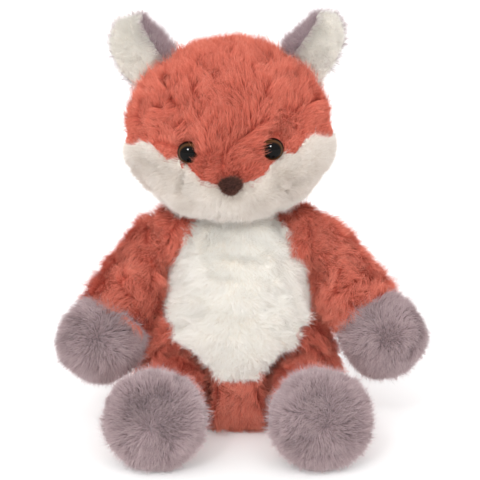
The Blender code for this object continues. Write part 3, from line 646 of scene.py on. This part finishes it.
def near_neighbour(form, nodes, reach, push):
    """Swells a form towards its neighbours, so that the two covers' pile meets."""
    places, _, normals = arrays(form["mesh"])
    gap = np.min(panel_gaps(places, nodes), axis=1)
    swell = np.clip(1.0 - gap / reach, 0.0, 1.0) * push
    set_places(form["mesh"], places + normals * swell[:, None])


def reach_for(form, node, reach, pull):
    """Draws a form's near end on to its neighbour, as a sewn root is drawn in."""
    places, _, _ = arrays(form["mesh"])
    tree = node_tree_of(node)
    for index, place in enumerate(places):
        nearest, _, _, gap = tree.find_nearest(Vector(place))
        if gap < reach:
            toward = (np.array(nearest) - place) / max(gap, 0.1 * MM)
            places[index] = place + toward * pull * (1.0 - gap / reach)
    set_places(form["mesh"], places)


def dimple(form, node, wavelength, depth, seed):
    """Soft dimples of a crushed pile on one panel of a form."""
    places, _, normals = arrays(form["mesh"])
    mine = np.argmin(form["gaps"], axis=1) == form["panels"].index(node)
    wave = wave_noise(places, wavelength, seed)[:, 0] * depth
    places[mine] += (normals * wave[:, None])[mine]
    set_places(form["mesh"], places)


def stuff(forms):
    """Swells the covers with their filling, by Blender's cloth under pressure.

    The seams hold still, so that each panel crowns between them.
    """
    scene = bpy.context.scene
    covers = []
    for form in forms:
        cover = bpy.data.objects.new("cover", form["mesh"])
        scene.collection.objects.link(cover)
        gaps = np.sort(form["gaps"], axis=1)
        held = cover.vertex_groups.new(name="seams")
        if gaps.shape[1] > 1:
            for index in np.flatnonzero(gaps[:, 1] - gaps[:, 0] < SEAM_HALF_WIDTH):
                held.add([int(index)], 1.0, "REPLACE")
        modifier = cover.modifiers.new("Stuffing", "CLOTH")
        for setting, value in STUFFING_CLOTH.items():
            setattr(modifier.settings, setting, value)
        modifier.settings.effector_weights.gravity = 0.0
        modifier.collision_settings.use_collision = False
        modifier.point_cache.frame_end = STUFFING_FRAMES
        covers.append(cover)
    for number in range(1, STUFFING_FRAMES + 1):
        scene.frame_set(number)
    graph = bpy.context.evaluated_depsgraph_get()
    for form, cover in zip(forms, covers):
        before = arrays(form["mesh"])[0]
        swelled = bpy.data.meshes.new_from_object(cover.evaluated_get(graph))
        moved = arrays(swelled)[0] - before
        size = np.linalg.norm(moved, axis=1, keepdims=True)
        moved *= np.minimum(1.0, STUFFING_REACH / np.maximum(size, 1e-9))
        bpy.data.objects.remove(cover, do_unlink=True)
        set_places(form["mesh"], before + moved)
    scene.frame_set(1)


def settle(form):
    """Keeps a finished form's places, faces and panels for its skin and pile."""
    form["places"], form["triangles"], form["normals"] = arrays(form["mesh"])
    under = form["gaps"].copy()
    under[:, 1:] += SEAM_HALF_WIDTH
    panel = np.argmin(under, axis=1)
    form["face_panel"] = np.array(
        [panel[face.vertices[0]] for face in form["mesh"].polygons], dtype=np.int32)


def add_skin(name, form, body, backings, stands_for):
    """The backing cloth of a stuffed piece, which stands for its filling where there is one."""
    settle(form)
    piece = add_piece(name, form["mesh"], body, backings)
    form["mesh"].polygons.foreach_set("material_index", form["face_panel"])
    form["mesh"].update()
    if stands_for:
        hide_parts(*stands_for)


def add_pile(form, node, body, material, pile, flow, clear=None):
    """The pile of one panel, in as many pieces as its strands need."""
    roots, facing = scatter(form, pile, form["panels"].index(node), clear)
    turn = np.arctan2(facing[:, 1], facing[:, 0])
    order = np.argsort(turn, kind="stable")
    roots = roots[order]
    facing = facing[order]
    spine, side, widths, tones = comb(roots, facing, pile, flow)
    parts = max(1, math.ceil(len(roots) * (2 * len(pile["angles"]) - 1) / FACES_A_PIECE))
    for part in range(parts):
        mine = slice(len(roots) * part // parts, len(roots) * (part + 1) // parts)
        name = node + "_pile" + ("" if parts == 1 else f"_{part + 1}")
        mesh = strand_mesh(name, ([row[mine] for row in spine], side[mine], widths[mine], tones[mine]))
        piece = add_piece(name, mesh, body, [material])
        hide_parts(node)


# Pile kinds: lengths in metres, density in fibres a square millimetre
LONG_PILE = {
    "length": 8.2 * MM, "density": 4.2, "width": 0.24 * MM, "lock": 9 * MM, "clump": 1.8 * MM,
    "lock_pull": 0.16, "clump_pull": 0.26, "swirl": 0.7, "swirl_size": 26 * MM, "lock_push": 0.60,
    "clump_push": 0.16, "stray": 0.18, "spread": 0.18, "angles": (30, 66), "seed": 11}
BELLY_LONG = dict(LONG_PILE, length=5.8 * MM, density=5.5, width=0.20 * MM, lock=11 * MM, clump=1.5 * MM,
                  lock_pull=0.08, clump_pull=0.10, swirl=0.35, lock_push=0.25, stray=0.35, spread=0.14,
                  angles=(34, 64), seed=21)
SHORT_PILE = {
    "length": 5.0 * MM, "density": 9.0, "width": 0.22 * MM, "lock": 9 * MM, "clump": 1.3 * MM,
    "lock_pull": 0.03, "clump_pull": 0.15, "swirl": 0.4, "swirl_size": 26 * MM, "lock_push": 0.20,
    "clump_push": 0.12, "stray": 0.35, "spread": 0.25, "angles": (46,), "seed": 31}
PAW_PILE = {
    "length": 6.2 * MM, "density": 5.0, "width": 0.22 * MM, "lock": 8 * MM, "clump": 1.5 * MM,
    "lock_pull": 0.04, "clump_pull": 0.2, "swirl": 0.6, "swirl_size": 22 * MM, "lock_push": 0.25,
    "clump_push": 0.15, "stray": 0.3, "spread": 0.22, "angles": (18, 48), "seed": 41}
NOSE_VELOUR = {
    "length": 2.4 * MM, "density": 9.0, "width": 0.34 * MM, "lock": 2 * MM, "clump": 1.0 * MM,
    "lock_pull": 0.0, "clump_pull": 0.4, "swirl": 0.3, "swirl_size": 8 * MM, "lock_push": 0.4,
    "clump_push": 0.5, "stray": 0.6, "spread": 0.45, "angles": (22,), "seed": 51}


def middle(node):
    """The middle of a CAD node's box."""
    low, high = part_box(node)
    return np.array((low + high) / 2)


def way(start, end):
    """The direction from one CAD node's middle to another's."""
    run = middle(end) - middle(start)
    return run / np.linalg.norm(run)


def away_from(place, push=(0.0, 0.0, 0.0)):
    """A flow that spreads from a place, with a steady push."""
    def flow(roots, facing):
        return along_surface(unit(roots - place) + np.array(push), facing)
    return flow


def along(direction):
    """A flow in one direction."""
    def flow(roots, facing):
        return along_surface(np.tile(np.array(direction, dtype=float), (len(roots), 1)), facing)
    return flow


# Forms of all stuffed pieces
SIDES = (("left", 1.0), ("right", -1.0))


def cheek_fullness(form):
    """The chin hangs a little lower than its panel's cut, and one side of the head is fuller."""
    places, _, _ = arrays(form["mesh"])
    low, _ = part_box("cheek_panel")
    chin = np.clip(1.0 - (places[:, 2] - low.z) / CHIN_REACH, 0.0, 1.0) * (places[:, 1] < CHIN_BACK)
    places[:, 2] -= CHIN_DROP * chin
    places[:, 0] -= SIDE_SWELL * np.clip((-SIDE_START - places[:, 0]) / SIDE_REACH, 0.0, 1.0)
    set_places(form["mesh"], places)


WADS = [((sign * WAD_ACROSS, 0.0, WAD_HEIGHT), WAD_RADII) for _, sign in SIDES]
torso = form_of(["torso_cover", "belly_panel", "torso_filling", "neck_wad"], SKIN_VOXEL,
                ["torso_cover", "belly_panel"], wads=WADS)
near_neighbour(torso, ["arm_sleeve_left", "arm_sleeve_right"], SHOULDER_REACH, TORSO_MEETS_ARM)
head = form_of(["head_cover", "cheek_panel", "head_filling"], SKIN_VOXEL, ["head_cover", "cheek_panel"])
muzzle = arrays(head["mesh"])[0][:, [0, 2]] - middle("nose_pad")[[0, 2]]
head["gaps"][:, head["panels"].index("cheek_panel")] -= MUZZLE_LIFT * np.clip(
    1.5 - np.linalg.norm(muzzle, axis=1) / MUZZLE_REACH, 0.0, 1.0)
tail = form_of(["tail_cover", "tail_tip", "tail_filling"], SKIN_VOXEL, ["tail_cover", "tail_tip"])
arms, legs = {}, {}
for side, _ in SIDES:
    sleeve, paw = "arm_sleeve_" + side, "paw_" + side
    arms[side] = form_of([sleeve, paw, "arm_filling_" + side], SKIN_VOXEL, [sleeve, paw])
    near_neighbour(arms[side], ["torso_cover"], SHOULDER_REACH, ARM_MEETS_TORSO)
    sleeve, foot, sole = "leg_sleeve_" + side, "foot_" + side, "sole_" + side
    legs[side] = form_of([sleeve, foot, sole, "leg_filling_" + side], SKIN_VOXEL, [sleeve, foot, sole])
cheek_fullness(head)
stuff([torso, head, tail, *arms.values(), *legs.values()])

# Dimples: form, panel, width, depth and seed
for form, node, width, depth, seed in (
        (torso, "belly_panel", 12 * MM, 1.1 * MM, 5),
        (torso, "torso_cover", 15 * MM, 0.7 * MM, 6),
        (head, "head_cover", 16 * MM, 0.6 * MM, 7),
        (arms["left"], "arm_sleeve_left", 13 * MM, 0.7 * MM, 8),
        (arms["right"], "arm_sleeve_right", 13 * MM, 0.7 * MM, 8)):
    dimple(form, node, width, depth, seed)

# Torso
down = along((0.0, -0.1, -1.0))
add_skin("torso_skin", torso, "torso", [ORANGE_BACKING, CREAM_BACKING], ["torso_filling"])


def lap_painted_light(roots):
    """Painted light: between the legs the pile is toned paler, to lift the shade that falls there."""
    low = np.clip(LAP_TOP - roots[:, 2] / LAP_HEIGHT, 0.0, 1.0)
    return LAP_PAINTED_LIGHT * low * (roots[:, 1] < LAP_FRONT)


# The torso's pile gets painted light between the legs
add_pile(torso, "torso_cover", "torso", ORANGE_PILE,
         dict(LONG_PILE, tone_at=lap_painted_light), down)


def down_and_out(roots, facing):
    """The belly's pile falls down and laps over the orange at its edge."""
    out = np.stack([roots[:, 0] / BELLY_FAN, np.zeros(len(roots)), -np.ones(len(roots))], axis=1)
    return along_surface(out, facing)


add_pile(torso, "belly_panel", "torso", BELLY_PILE, BELLY_LONG, down_and_out)

# Head
nose_middle = middle("nose_pad")

# The dart's two ends, as places across and up
CHEEK_DART = (np.array((-30.9 * MM, 169.0 * MM)), np.array((-32.6 * MM, 148.5 * MM)))


def dart_gap(roots):
    """Distance of each root from the dart sewn in one cheek, seen from the front."""
    start, end = CHEEK_DART
    run = end - start
    offset = roots[:, [0, 2]] - start
    share = np.clip(offset @ run / (run @ run), 0.0, 1.0)
    gap = np.linalg.norm(offset - share[:, None] * run, axis=1)
    return np.where(roots[:, 1] < 0, gap, 1.0)


def sew_dart(form):
    """The dart's groove in the cheek."""
    places, _, normals = arrays(form["mesh"])
    depth = DART_DEPTH * np.exp(-(dart_gap(places) / DART_WIDTH) ** 2)
    set_places(form["mesh"], places - normals * depth[:, None])


roll = math.radians(HEAD_ROLL_DEGREES)
ROLL = np.array([[math.cos(roll), 0, math.sin(roll)], [0, 1, 0], [-math.sin(roll), 0, math.cos(roll)]])


def eye_frame(side, sign):
    """The eye's seat and its facing, from the CAD eye."""
    turn = sign * math.radians(EYE_TURN_DEGREES)
    facing = ROLL @ np.array([math.sin(turn), -math.cos(turn), 0.0])
    places, _, _ = arrays(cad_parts["eye_" + side].data)
    apex = places[np.argmax(places @ facing)]
    return apex - facing * (EYE_DOME + EYE_SINK), facing


EYES = {side: eye_frame(side, sign) for side, sign in SIDES}


def beside_eyes(points):
    """1 at the inner rim of each eye, falling to 0 about a centimetre away."""
    share = np.zeros(len(points))
    for side, sign in SIDES:
        rim = EYES[side][0] - ROLL @ np.array([sign * (EYE_RADIUS + BRIDGE_INWARD), 0.0, 0.0])
        gap = np.linalg.norm((points - rim)[:, [0, 2]], axis=1)
        share = np.maximum(share, np.exp(-(gap / BRIDGE_REACH) ** 2) * (points[:, 1] < EYE_FRONT))
    return share


def draw_in_eyes(form):
    """The eyes' shanks are drawn in, so the bridge of the nose bulges beside them."""
    places, _, normals = arrays(form["mesh"])
    swell = BRIDGE_SWELL * beside_eyes(places)
    set_places(form["mesh"], places + normals * swell[:, None])


def head_flow(roots, facing):
    """Up and away from the nose, and beside the eyes out over their inner rims."""
    out = unit(roots - nose_middle) + np.array((0.0, 0.15, 0.45))
    share = beside_eyes(roots)[:, None]
    outward = np.sign(roots[:, [0]] - nose_middle[0]) * np.array([[1.0, 0.0, 0.0]])
    across = outward - np.array([[0.0, 0.0, 0.15]])
    return along_surface(out + across * share, facing)


sew_dart(head)
draw_in_eyes(head)
add_skin("head_skin", head, "head", [ORANGE_BACKING, CREAM_BACKING], ["head_filling"])


def eye_gap(roots):
    """Distance of each root from the nearest eye's rim, measured across the face."""
    gaps = []
    for seat, facing in EYES.values():
        offset = roots - seat
        offset = offset - np.outer(offset @ facing, facing)
        gaps.append(np.linalg.norm(offset, axis=1) - EYE_RADIUS)
    return np.min(gaps, axis=0)


CHEEK_TREE = node_tree_of("cheek_panel")


def seam_gap(roots):
    """Distance of each root of the head cover from the cheek panel's seam."""
    return np.array([CHEEK_TREE.find_nearest(Vector(root))[3] for root in roots])


def face_clear(roots):
    """No pile grows through an eye, but the bridge's pile may start under its inner rim."""
    inside = UNDER_EYE_RIM + BRIDGE_OVER_EYE * beside_eyes(roots)
    return (eye_gap(roots) > -inside) | (roots[:, 1] > EYE_FRONT)


def cover_length(roots):
    """The head cover's pile is clipped short by the cheek seam and outside the eyes, not on the bridge."""
    front = roots[:, 1] < FACE_FRONT
    between = np.abs(roots[:, 0] - nose_middle[0]) < BETWEEN_EYES
    at_eye = np.where(between, COVER_BETWEEN, COVER_AT_EYE)
    by_eye = np.clip(at_eye + np.maximum(eye_gap(roots), 0) / COVER_EYE_REACH, 0.0, 1.0)
    by_seam = np.clip(COVER_AT_SEAM + seam_gap(roots) / COVER_SEAM_REACH, 0.0, 1.0)
    clipped = np.where(front, np.minimum(by_eye, by_seam), np.maximum(by_seam, COVER_BEHIND))
    return np.maximum(clipped, BRIDGE_LENGTH * beside_eyes(roots))


def dart_painted_shade(roots):
    """Painted shade in the dart's groove."""
    return DART_PAINTED_SHADE * np.exp(-(dart_gap(roots) / DART_SHADE_WIDTH) ** 2)


def cheek_length(roots):
    """The cheeks' pile is clipped shorter by the eyes and the dart."""
    by_eye = np.clip(CHEEK_AT_EYE + np.maximum(eye_gap(roots), 0) / CHEEK_EYE_REACH, 0.0, 1.0)
    by_dart = np.clip(CHEEK_AT_DART + dart_gap(roots) / CHEEK_DART_REACH, 0.0, 1.0)
    return np.where(roots[:, 1] < FACE_FRONT, np.minimum(by_eye, by_dart), 1.0)


add_pile(head, "head_cover", "head", ORANGE_PILE,
         dict(LONG_PILE, seed=61, swirl=0.25, length_at=cover_length),
         head_flow, face_clear)
# The cheek's pile gets painted shade along the dart
add_pile(head, "cheek_panel", "head", CHEEK_PILE,
         dict(SHORT_PILE, length_at=cheek_length, tone_at=dart_painted_shade),
         away_from(nose_middle, (0.0, 0.1, 0.1)), face_clear)

# Nose
nose = form_of(["nose_pad"], NOSE_VOXEL, ["nose_pad"], steps=3)
nose["mesh"].transform(Matrix.Translation(Vector(nose_middle) + Vector((0.0, 0.0, NOSE_LIFT)))
                       @ Matrix.Diagonal((NOSE_WIDENING, 1.0, 1.0, 1.0))
                       @ Matrix.Translation(-Vector(nose_middle)))
add_skin("nose_skin", nose, "head", [BROWN_BACKING], [])
add_pile(nose, "nose_pad", "head", NOSE_PILE, NOSE_VELOUR,
         away_from(nose_middle, (0, 0, -0.3)))


# Ears

def lean_tip(form, side, sign):
    """The soft tip leans: its folded corner sinks and its outer corner stands up.

    Both grow with the height squared. outer runs from 0 at the fold to 1 at the other edge.
    """
    places, _, _ = arrays(form["mesh"])
    low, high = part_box("ear_front_" + side)
    height = np.clip((places[:, 2] - low.z) / (high.z - low.z), 0.0, 1.0)
    outer = np.abs(places[:, 0] - (low.x if sign > 0 else high.x)) / (high.x - low.x)
    fold_out, fold_down, corner_up = EAR_LEAN[side]
    near_fold = height ** 2 * np.clip(1.3 - 1.3 * outer, 0.0, 1.0)
    near_corner = height ** 2 * np.clip(1.0 - np.abs(outer - 0.8) / 0.4, 0.0, 1.0)
    places[:, 0] += sign * fold_out * near_fold
    places[:, 2] += corner_up * near_corner - fold_down * near_fold
    set_places(form["mesh"], places)


for side, sign in SIDES:
    body = "ear_" + side
    front, back = "ear_front_" + side, "ear_back_" + side
    ear = form_of([front, back], EAR_VOXEL, [front, back], steps=5)
    reach_for(ear, "head_cover", EAR_ROOT_REACH, EAR_ROOT_PULL)
    lean_tip(ear, side, sign)
    add_skin("ear_skin_" + side, ear, body, [CREAM_BACKING, GREY_BACKING], [])
    low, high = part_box(back)
    root = np.array(((low.x + high.x) / 2 - sign * EAR_WHORL_INWARD, (low.y + high.y) / 2,
                     low.z - EAR_WHORL_UNDER))
    add_pile(ear, front, body, BELLY_PILE,
             dict(SHORT_PILE, length=5.4 * MM, stray=0.5, spread=0.4, seed=71), away_from(root))
    add_pile(ear, back, body, EAR_GREY_PILE,
             dict(SHORT_PILE, length=8.0 * MM, density=6.5, stray=0.7, spread=0.5, seed=81), away_from(root))


# Arms and legs

def arm_painted_light(roots):
    """Painted light: the arms' pile is toned paler all over, to lift the shade on them."""
    return ARM_PAINTED_LIGHT


for side, _ in SIDES:
    body = "arm_" + side
    sleeve, paw = "arm_sleeve_" + side, "paw_" + side
    arm = arms[side]
    add_skin("arm_skin_" + side, arm, body, [ORANGE_BACKING, GREY_BACKING],
             ["arm_filling_" + side])
    run = way(sleeve, paw)
    # The sleeve's pile gets painted light all over
    add_pile(arm, sleeve, body, ORANGE_PILE,
             dict(LONG_PILE, seed=91, tone_at=arm_painted_light), along(run))
    whorl = middle(paw) + np.array(PAW_WHORL)
    add_pile(arm, paw, body, GREY_PILE, dict(PAW_PILE, seed=101),
             away_from(whorl, run * 0.5))

    body = "leg_" + side
    sleeve, foot, sole = "leg_sleeve_" + side, "foot_" + side, "sole_" + side
    leg = legs[side]
    add_skin("leg_skin_" + side, leg, body, [ORANGE_BACKING, GREY_BACKING, GREY_BACKING],
             ["leg_filling_" + side])
    run = way(sleeve, sole)
    # The leg sleeves get the same painted light between the legs
    add_pile(leg, sleeve, body, ORANGE_PILE,
             dict(LONG_PILE, length=6.6 * MM, seed=111, tone_at=lap_painted_light), along(run))
    whorl = middle(sole) + run * FOOT_WHORL
    add_pile(leg, foot, body, GREY_PILE, dict(PAW_PILE, seed=121), away_from(whorl))
    add_pile(leg, sole, body, GREY_PILE, dict(PAW_PILE, seed=131), away_from(whorl))

# Tail
add_skin("tail_skin", tail, "tail", [ORANGE_BACKING, CREAM_BACKING], ["tail_filling"])
back = along((0.0, 1.0, 0.0))
add_pile(tail, "tail_cover", "tail", ORANGE_PILE, dict(LONG_PILE, seed=141), back)
add_pile(tail, "tail_tip", "tail", BELLY_PILE, dict(BELLY_LONG, seed=151), back)


# Eyes

def eye_material():
    """Moulded clear acrylic over a printed iris: a wet black pupil in a brown ring.

    The print itself has no gloss, and the coat over it is the dome's polished face. The map's U is
    the share of the radius, so the iris's mottle at scale 14 is about half a millimetre wide.
    """
    material, tree, shader = new_material("Clear acrylic over brown iris")
    coords = add_node(tree, "ShaderNodeUVMap", {"uv_map": "face"})
    split = add_node(tree, "ShaderNodeSeparateXYZ", links=[("Vector", coords, "UV")])
    ramp = ramp_stops(add_node(tree, "ShaderNodeValToRGB", links=[("Fac", split, "X")]),
                      [(0.0, "#050403"), (0.66, "#080504"), (0.73, "#2E190A"), (0.86, "#5E3C1E"),
                       (0.96, "#452A14"), (1.0, "#1A0F08")])
    streaks = add_node(tree, "ShaderNodeTexNoise", {"Scale": 14.0, "Detail": 2.0}, [("Vector", coords, "UV")])
    shade = add_node(tree, "ShaderNodeMix", {"data_type": "RGBA", "blend_type": "MULTIPLY", "Factor": 0.35},
                     [(6, ramp, "Color"), (7, streaks, "Color")])
    tree.links.new(shade.outputs[2], shader.inputs["Base Color"])
    shader.inputs["Roughness"].default_value = 0.4
    shader.inputs["Specular IOR Level"].default_value = 0.0
    shader.inputs["Coat Weight"].default_value = 0.3
    shader.inputs["Coat Roughness"].default_value = 0.02
    shader.inputs["Coat IOR"].default_value = 1.49
    return material


def eye_mesh(name, seat, facing, inward):
    """A turned dome with a rim and a flat back, set on its seat.

    The print's middle lies low and towards the nose, as it looks through the thick dome.
    """
    profile = []
    for step in range(EYE_STEPS + 1):
        polar = math.pi / 2 * step / EYE_STEPS
        profile.append((EYE_RADIUS * math.sin(polar), EYE_DOME * math.cos(polar)))
    profile.append((EYE_RADIUS, -EYE_RIM))
    profile.append((0.0, -EYE_RIM))
    bm = bmesh.new()
    verts = [bm.verts.new((radius, 0.0, height)) for radius, height in profile]
    edges = [bm.edges.new(pair) for pair in zip(verts, verts[1:])]
    bmesh.ops.spin(bm, geom=verts + edges, axis=(0, 0, 1), cent=(0, 0, 0), steps=EYE_AROUND,
                   angle=math.tau, use_merge=True)
    bmesh.ops.remove_doubles(bm, verts=bm.verts, dist=0.00001)
    bmesh.ops.recalc_face_normals(bm, faces=bm.faces)
    layer = bm.loops.layers.uv.new("face")
    for face in bm.faces:
        for loop in face.loops:
            place = loop.vert.co
            offset = math.hypot(place.x - inward * IRIS_INWARD, place.y + IRIS_DROP) / EYE_RADIUS
            loop[layer].uv = (min(offset, 1.0), math.atan2(place.y, place.x))
    turn = Vector((0, 0, 1)).rotation_difference(Vector(facing))
    bmesh.ops.rotate(bm, verts=bm.verts, cent=(0, 0, 0), matrix=turn.to_matrix())
    bmesh.ops.translate(bm, verts=bm.verts, vec=Vector(seat))
    mesh = bpy.data.meshes.new(name)
    bm.to_mesh(mesh)
    bm.free()
    return mesh


EYE = eye_material()
for side, sign in SIDES:
    seat, facing = EYES[side]
    name = "eye_button_" + side
    eye = add_piece(name, eye_mesh(name, seat, facing, -sign), "head", [EYE])
    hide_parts("eye_" + side)

# What stays out of sight keeps its CAD shape
for name, material in (("pellet_bag", COTTON), ("neck_wad", FIBRE), ("eye_washer_left", WASHER),
                       ("eye_washer_right", WASHER)):
    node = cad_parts[name]
    node.data.materials.clear()
    node.data.materials.append(material)


# Floor, light and camera

def seen_ray(tree):
    """1 on rays from the camera and on those that gloss or clear plastic sends on, else 0."""
    ray = add_node(tree, "ShaderNodeLightPath")
    first = add_node(tree, "ShaderNodeMath", {"operation": "MAXIMUM"},
                     [(0, ray, "Is Camera Ray"), (1, ray, "Is Glossy Ray")])
    return add_node(tree, "ShaderNodeMath", {"operation": "MAXIMUM"},
                    [(0, first, "Value"), (1, ray, "Is Transmission Ray")])


def add_floor():
    """Calendered white paper, matt and even: the object's shadow falls on it, and the rest is white.

    Its grain is about a millimetre wide.
    """
    mesh = bpy.data.meshes.new("floor")
    corners = [(x * FLOOR_REACH, y * FLOOR_REACH, 0) for x, y in ((-1, -1), (1, -1), (1, 1), (-1, 1))]
    mesh.from_pydata(corners, [], [(0, 1, 2, 3)])
    floor = bpy.data.objects.new("floor", mesh)
    bpy.context.scene.collection.objects.link(floor)
    material, tree, shader = new_material("White studio paper")
    coords = add_node(tree, "ShaderNodeTexCoord")
    grain = add_node(tree, "ShaderNodeTexNoise", {"Scale": 900.0, "Detail": 3.0},
                     [("Vector", coords, "Object")])
    paper = ramp_stops(add_node(tree, "ShaderNodeValToRGB", links=[("Fac", grain, "Fac")]),
                       [(0.3, "#FAFAFA"), (0.7, "#FEFEFE")])
    tree.links.new(paper.outputs["Color"], shader.inputs["Base Color"])
    shader.inputs["Roughness"].default_value = 0.95
    shader.inputs["Specular IOR Level"].default_value = 0.1
    lift = add_node(tree, "ShaderNodeMath", {"operation": "MULTIPLY"}, [(0, seen_ray(tree), "Value")])
    lift.inputs[1].default_value = PAPER_LIFT
    tree.links.new(lift.outputs["Value"], shader.inputs["Emission Strength"])
    shader.inputs["Emission Color"].default_value = (1.0, 1.0, 1.0, 1.0)
    mesh.materials.append(material)


def add_sun(name, elevation, azimuth, width, strength, kind):
    """A lamp far away; azimuth 0 is in front of the fox, 90 on the image's right."""
    light = bpy.data.lights.new(name, "SUN")
    light.angle = math.radians(width)
    light.energy = strength
    lamp = bpy.data.objects.new(name, light)
    bpy.context.scene.collection.objects.link(lamp)
    lamp.visible_glossy = kind == "gloss"
    lamp.visible_diffuse = kind == "matt"
    up, round_z = math.radians(elevation), math.radians(azimuth)
    source = Vector((math.sin(round_z) * math.cos(up), -math.cos(round_z) * math.cos(up), math.sin(up)))
    lamp.rotation_euler = (-source).to_track_quat("-Z", "Y").to_euler()


def add_world():
    """Even white light, which the camera and gloss see as a white background."""
    world = bpy.data.worlds.new("studio")
    world.use_nodes = True
    tree = world.node_tree
    background = tree.nodes["Background"]
    level = add_node(tree, "ShaderNodeMapRange", {"To Min": WORLD_LIGHT, "To Max": 1.0},
                     [("Value", seen_ray(tree), "Value")])
    tree.links.new(level.outputs["Result"], background.inputs["Strength"])
    background.inputs["Color"].default_value = (1.0, 1.0, 1.0, 1.0)
    bpy.context.scene.world = world


def add_camera():
    """The photograph's view."""
    elevation = math.radians(CAMERA_ELEVATION)
    ahead = Vector((0.0, math.cos(elevation), -math.sin(elevation)))
    camera = bpy.data.cameras.new("camera")
    camera.sensor_width = SENSOR_WIDTH
    camera.lens = SENSOR_WIDTH * CAMERA_DISTANCE / FRAME_WIDTH_AT_TARGET
    camera.shift_x = FRAME_SHIFT_PIXELS / FRAME_PIXELS
    camera.clip_start = 0.01
    camera.clip_end = 50.0
    holder = bpy.data.objects.new("camera", camera)
    bpy.context.scene.collection.objects.link(holder)
    holder.location = CAMERA_TARGET - ahead * CAMERA_DISTANCE
    holder.rotation_euler = ahead.to_track_quat("-Z", "Y").to_euler()
    bpy.context.scene.camera = holder


add_floor()
for lamp in LAMPS:
    add_sun(*lamp)
add_world()
add_camera()
bpy.context.scene.view_settings.view_transform = "Standard"
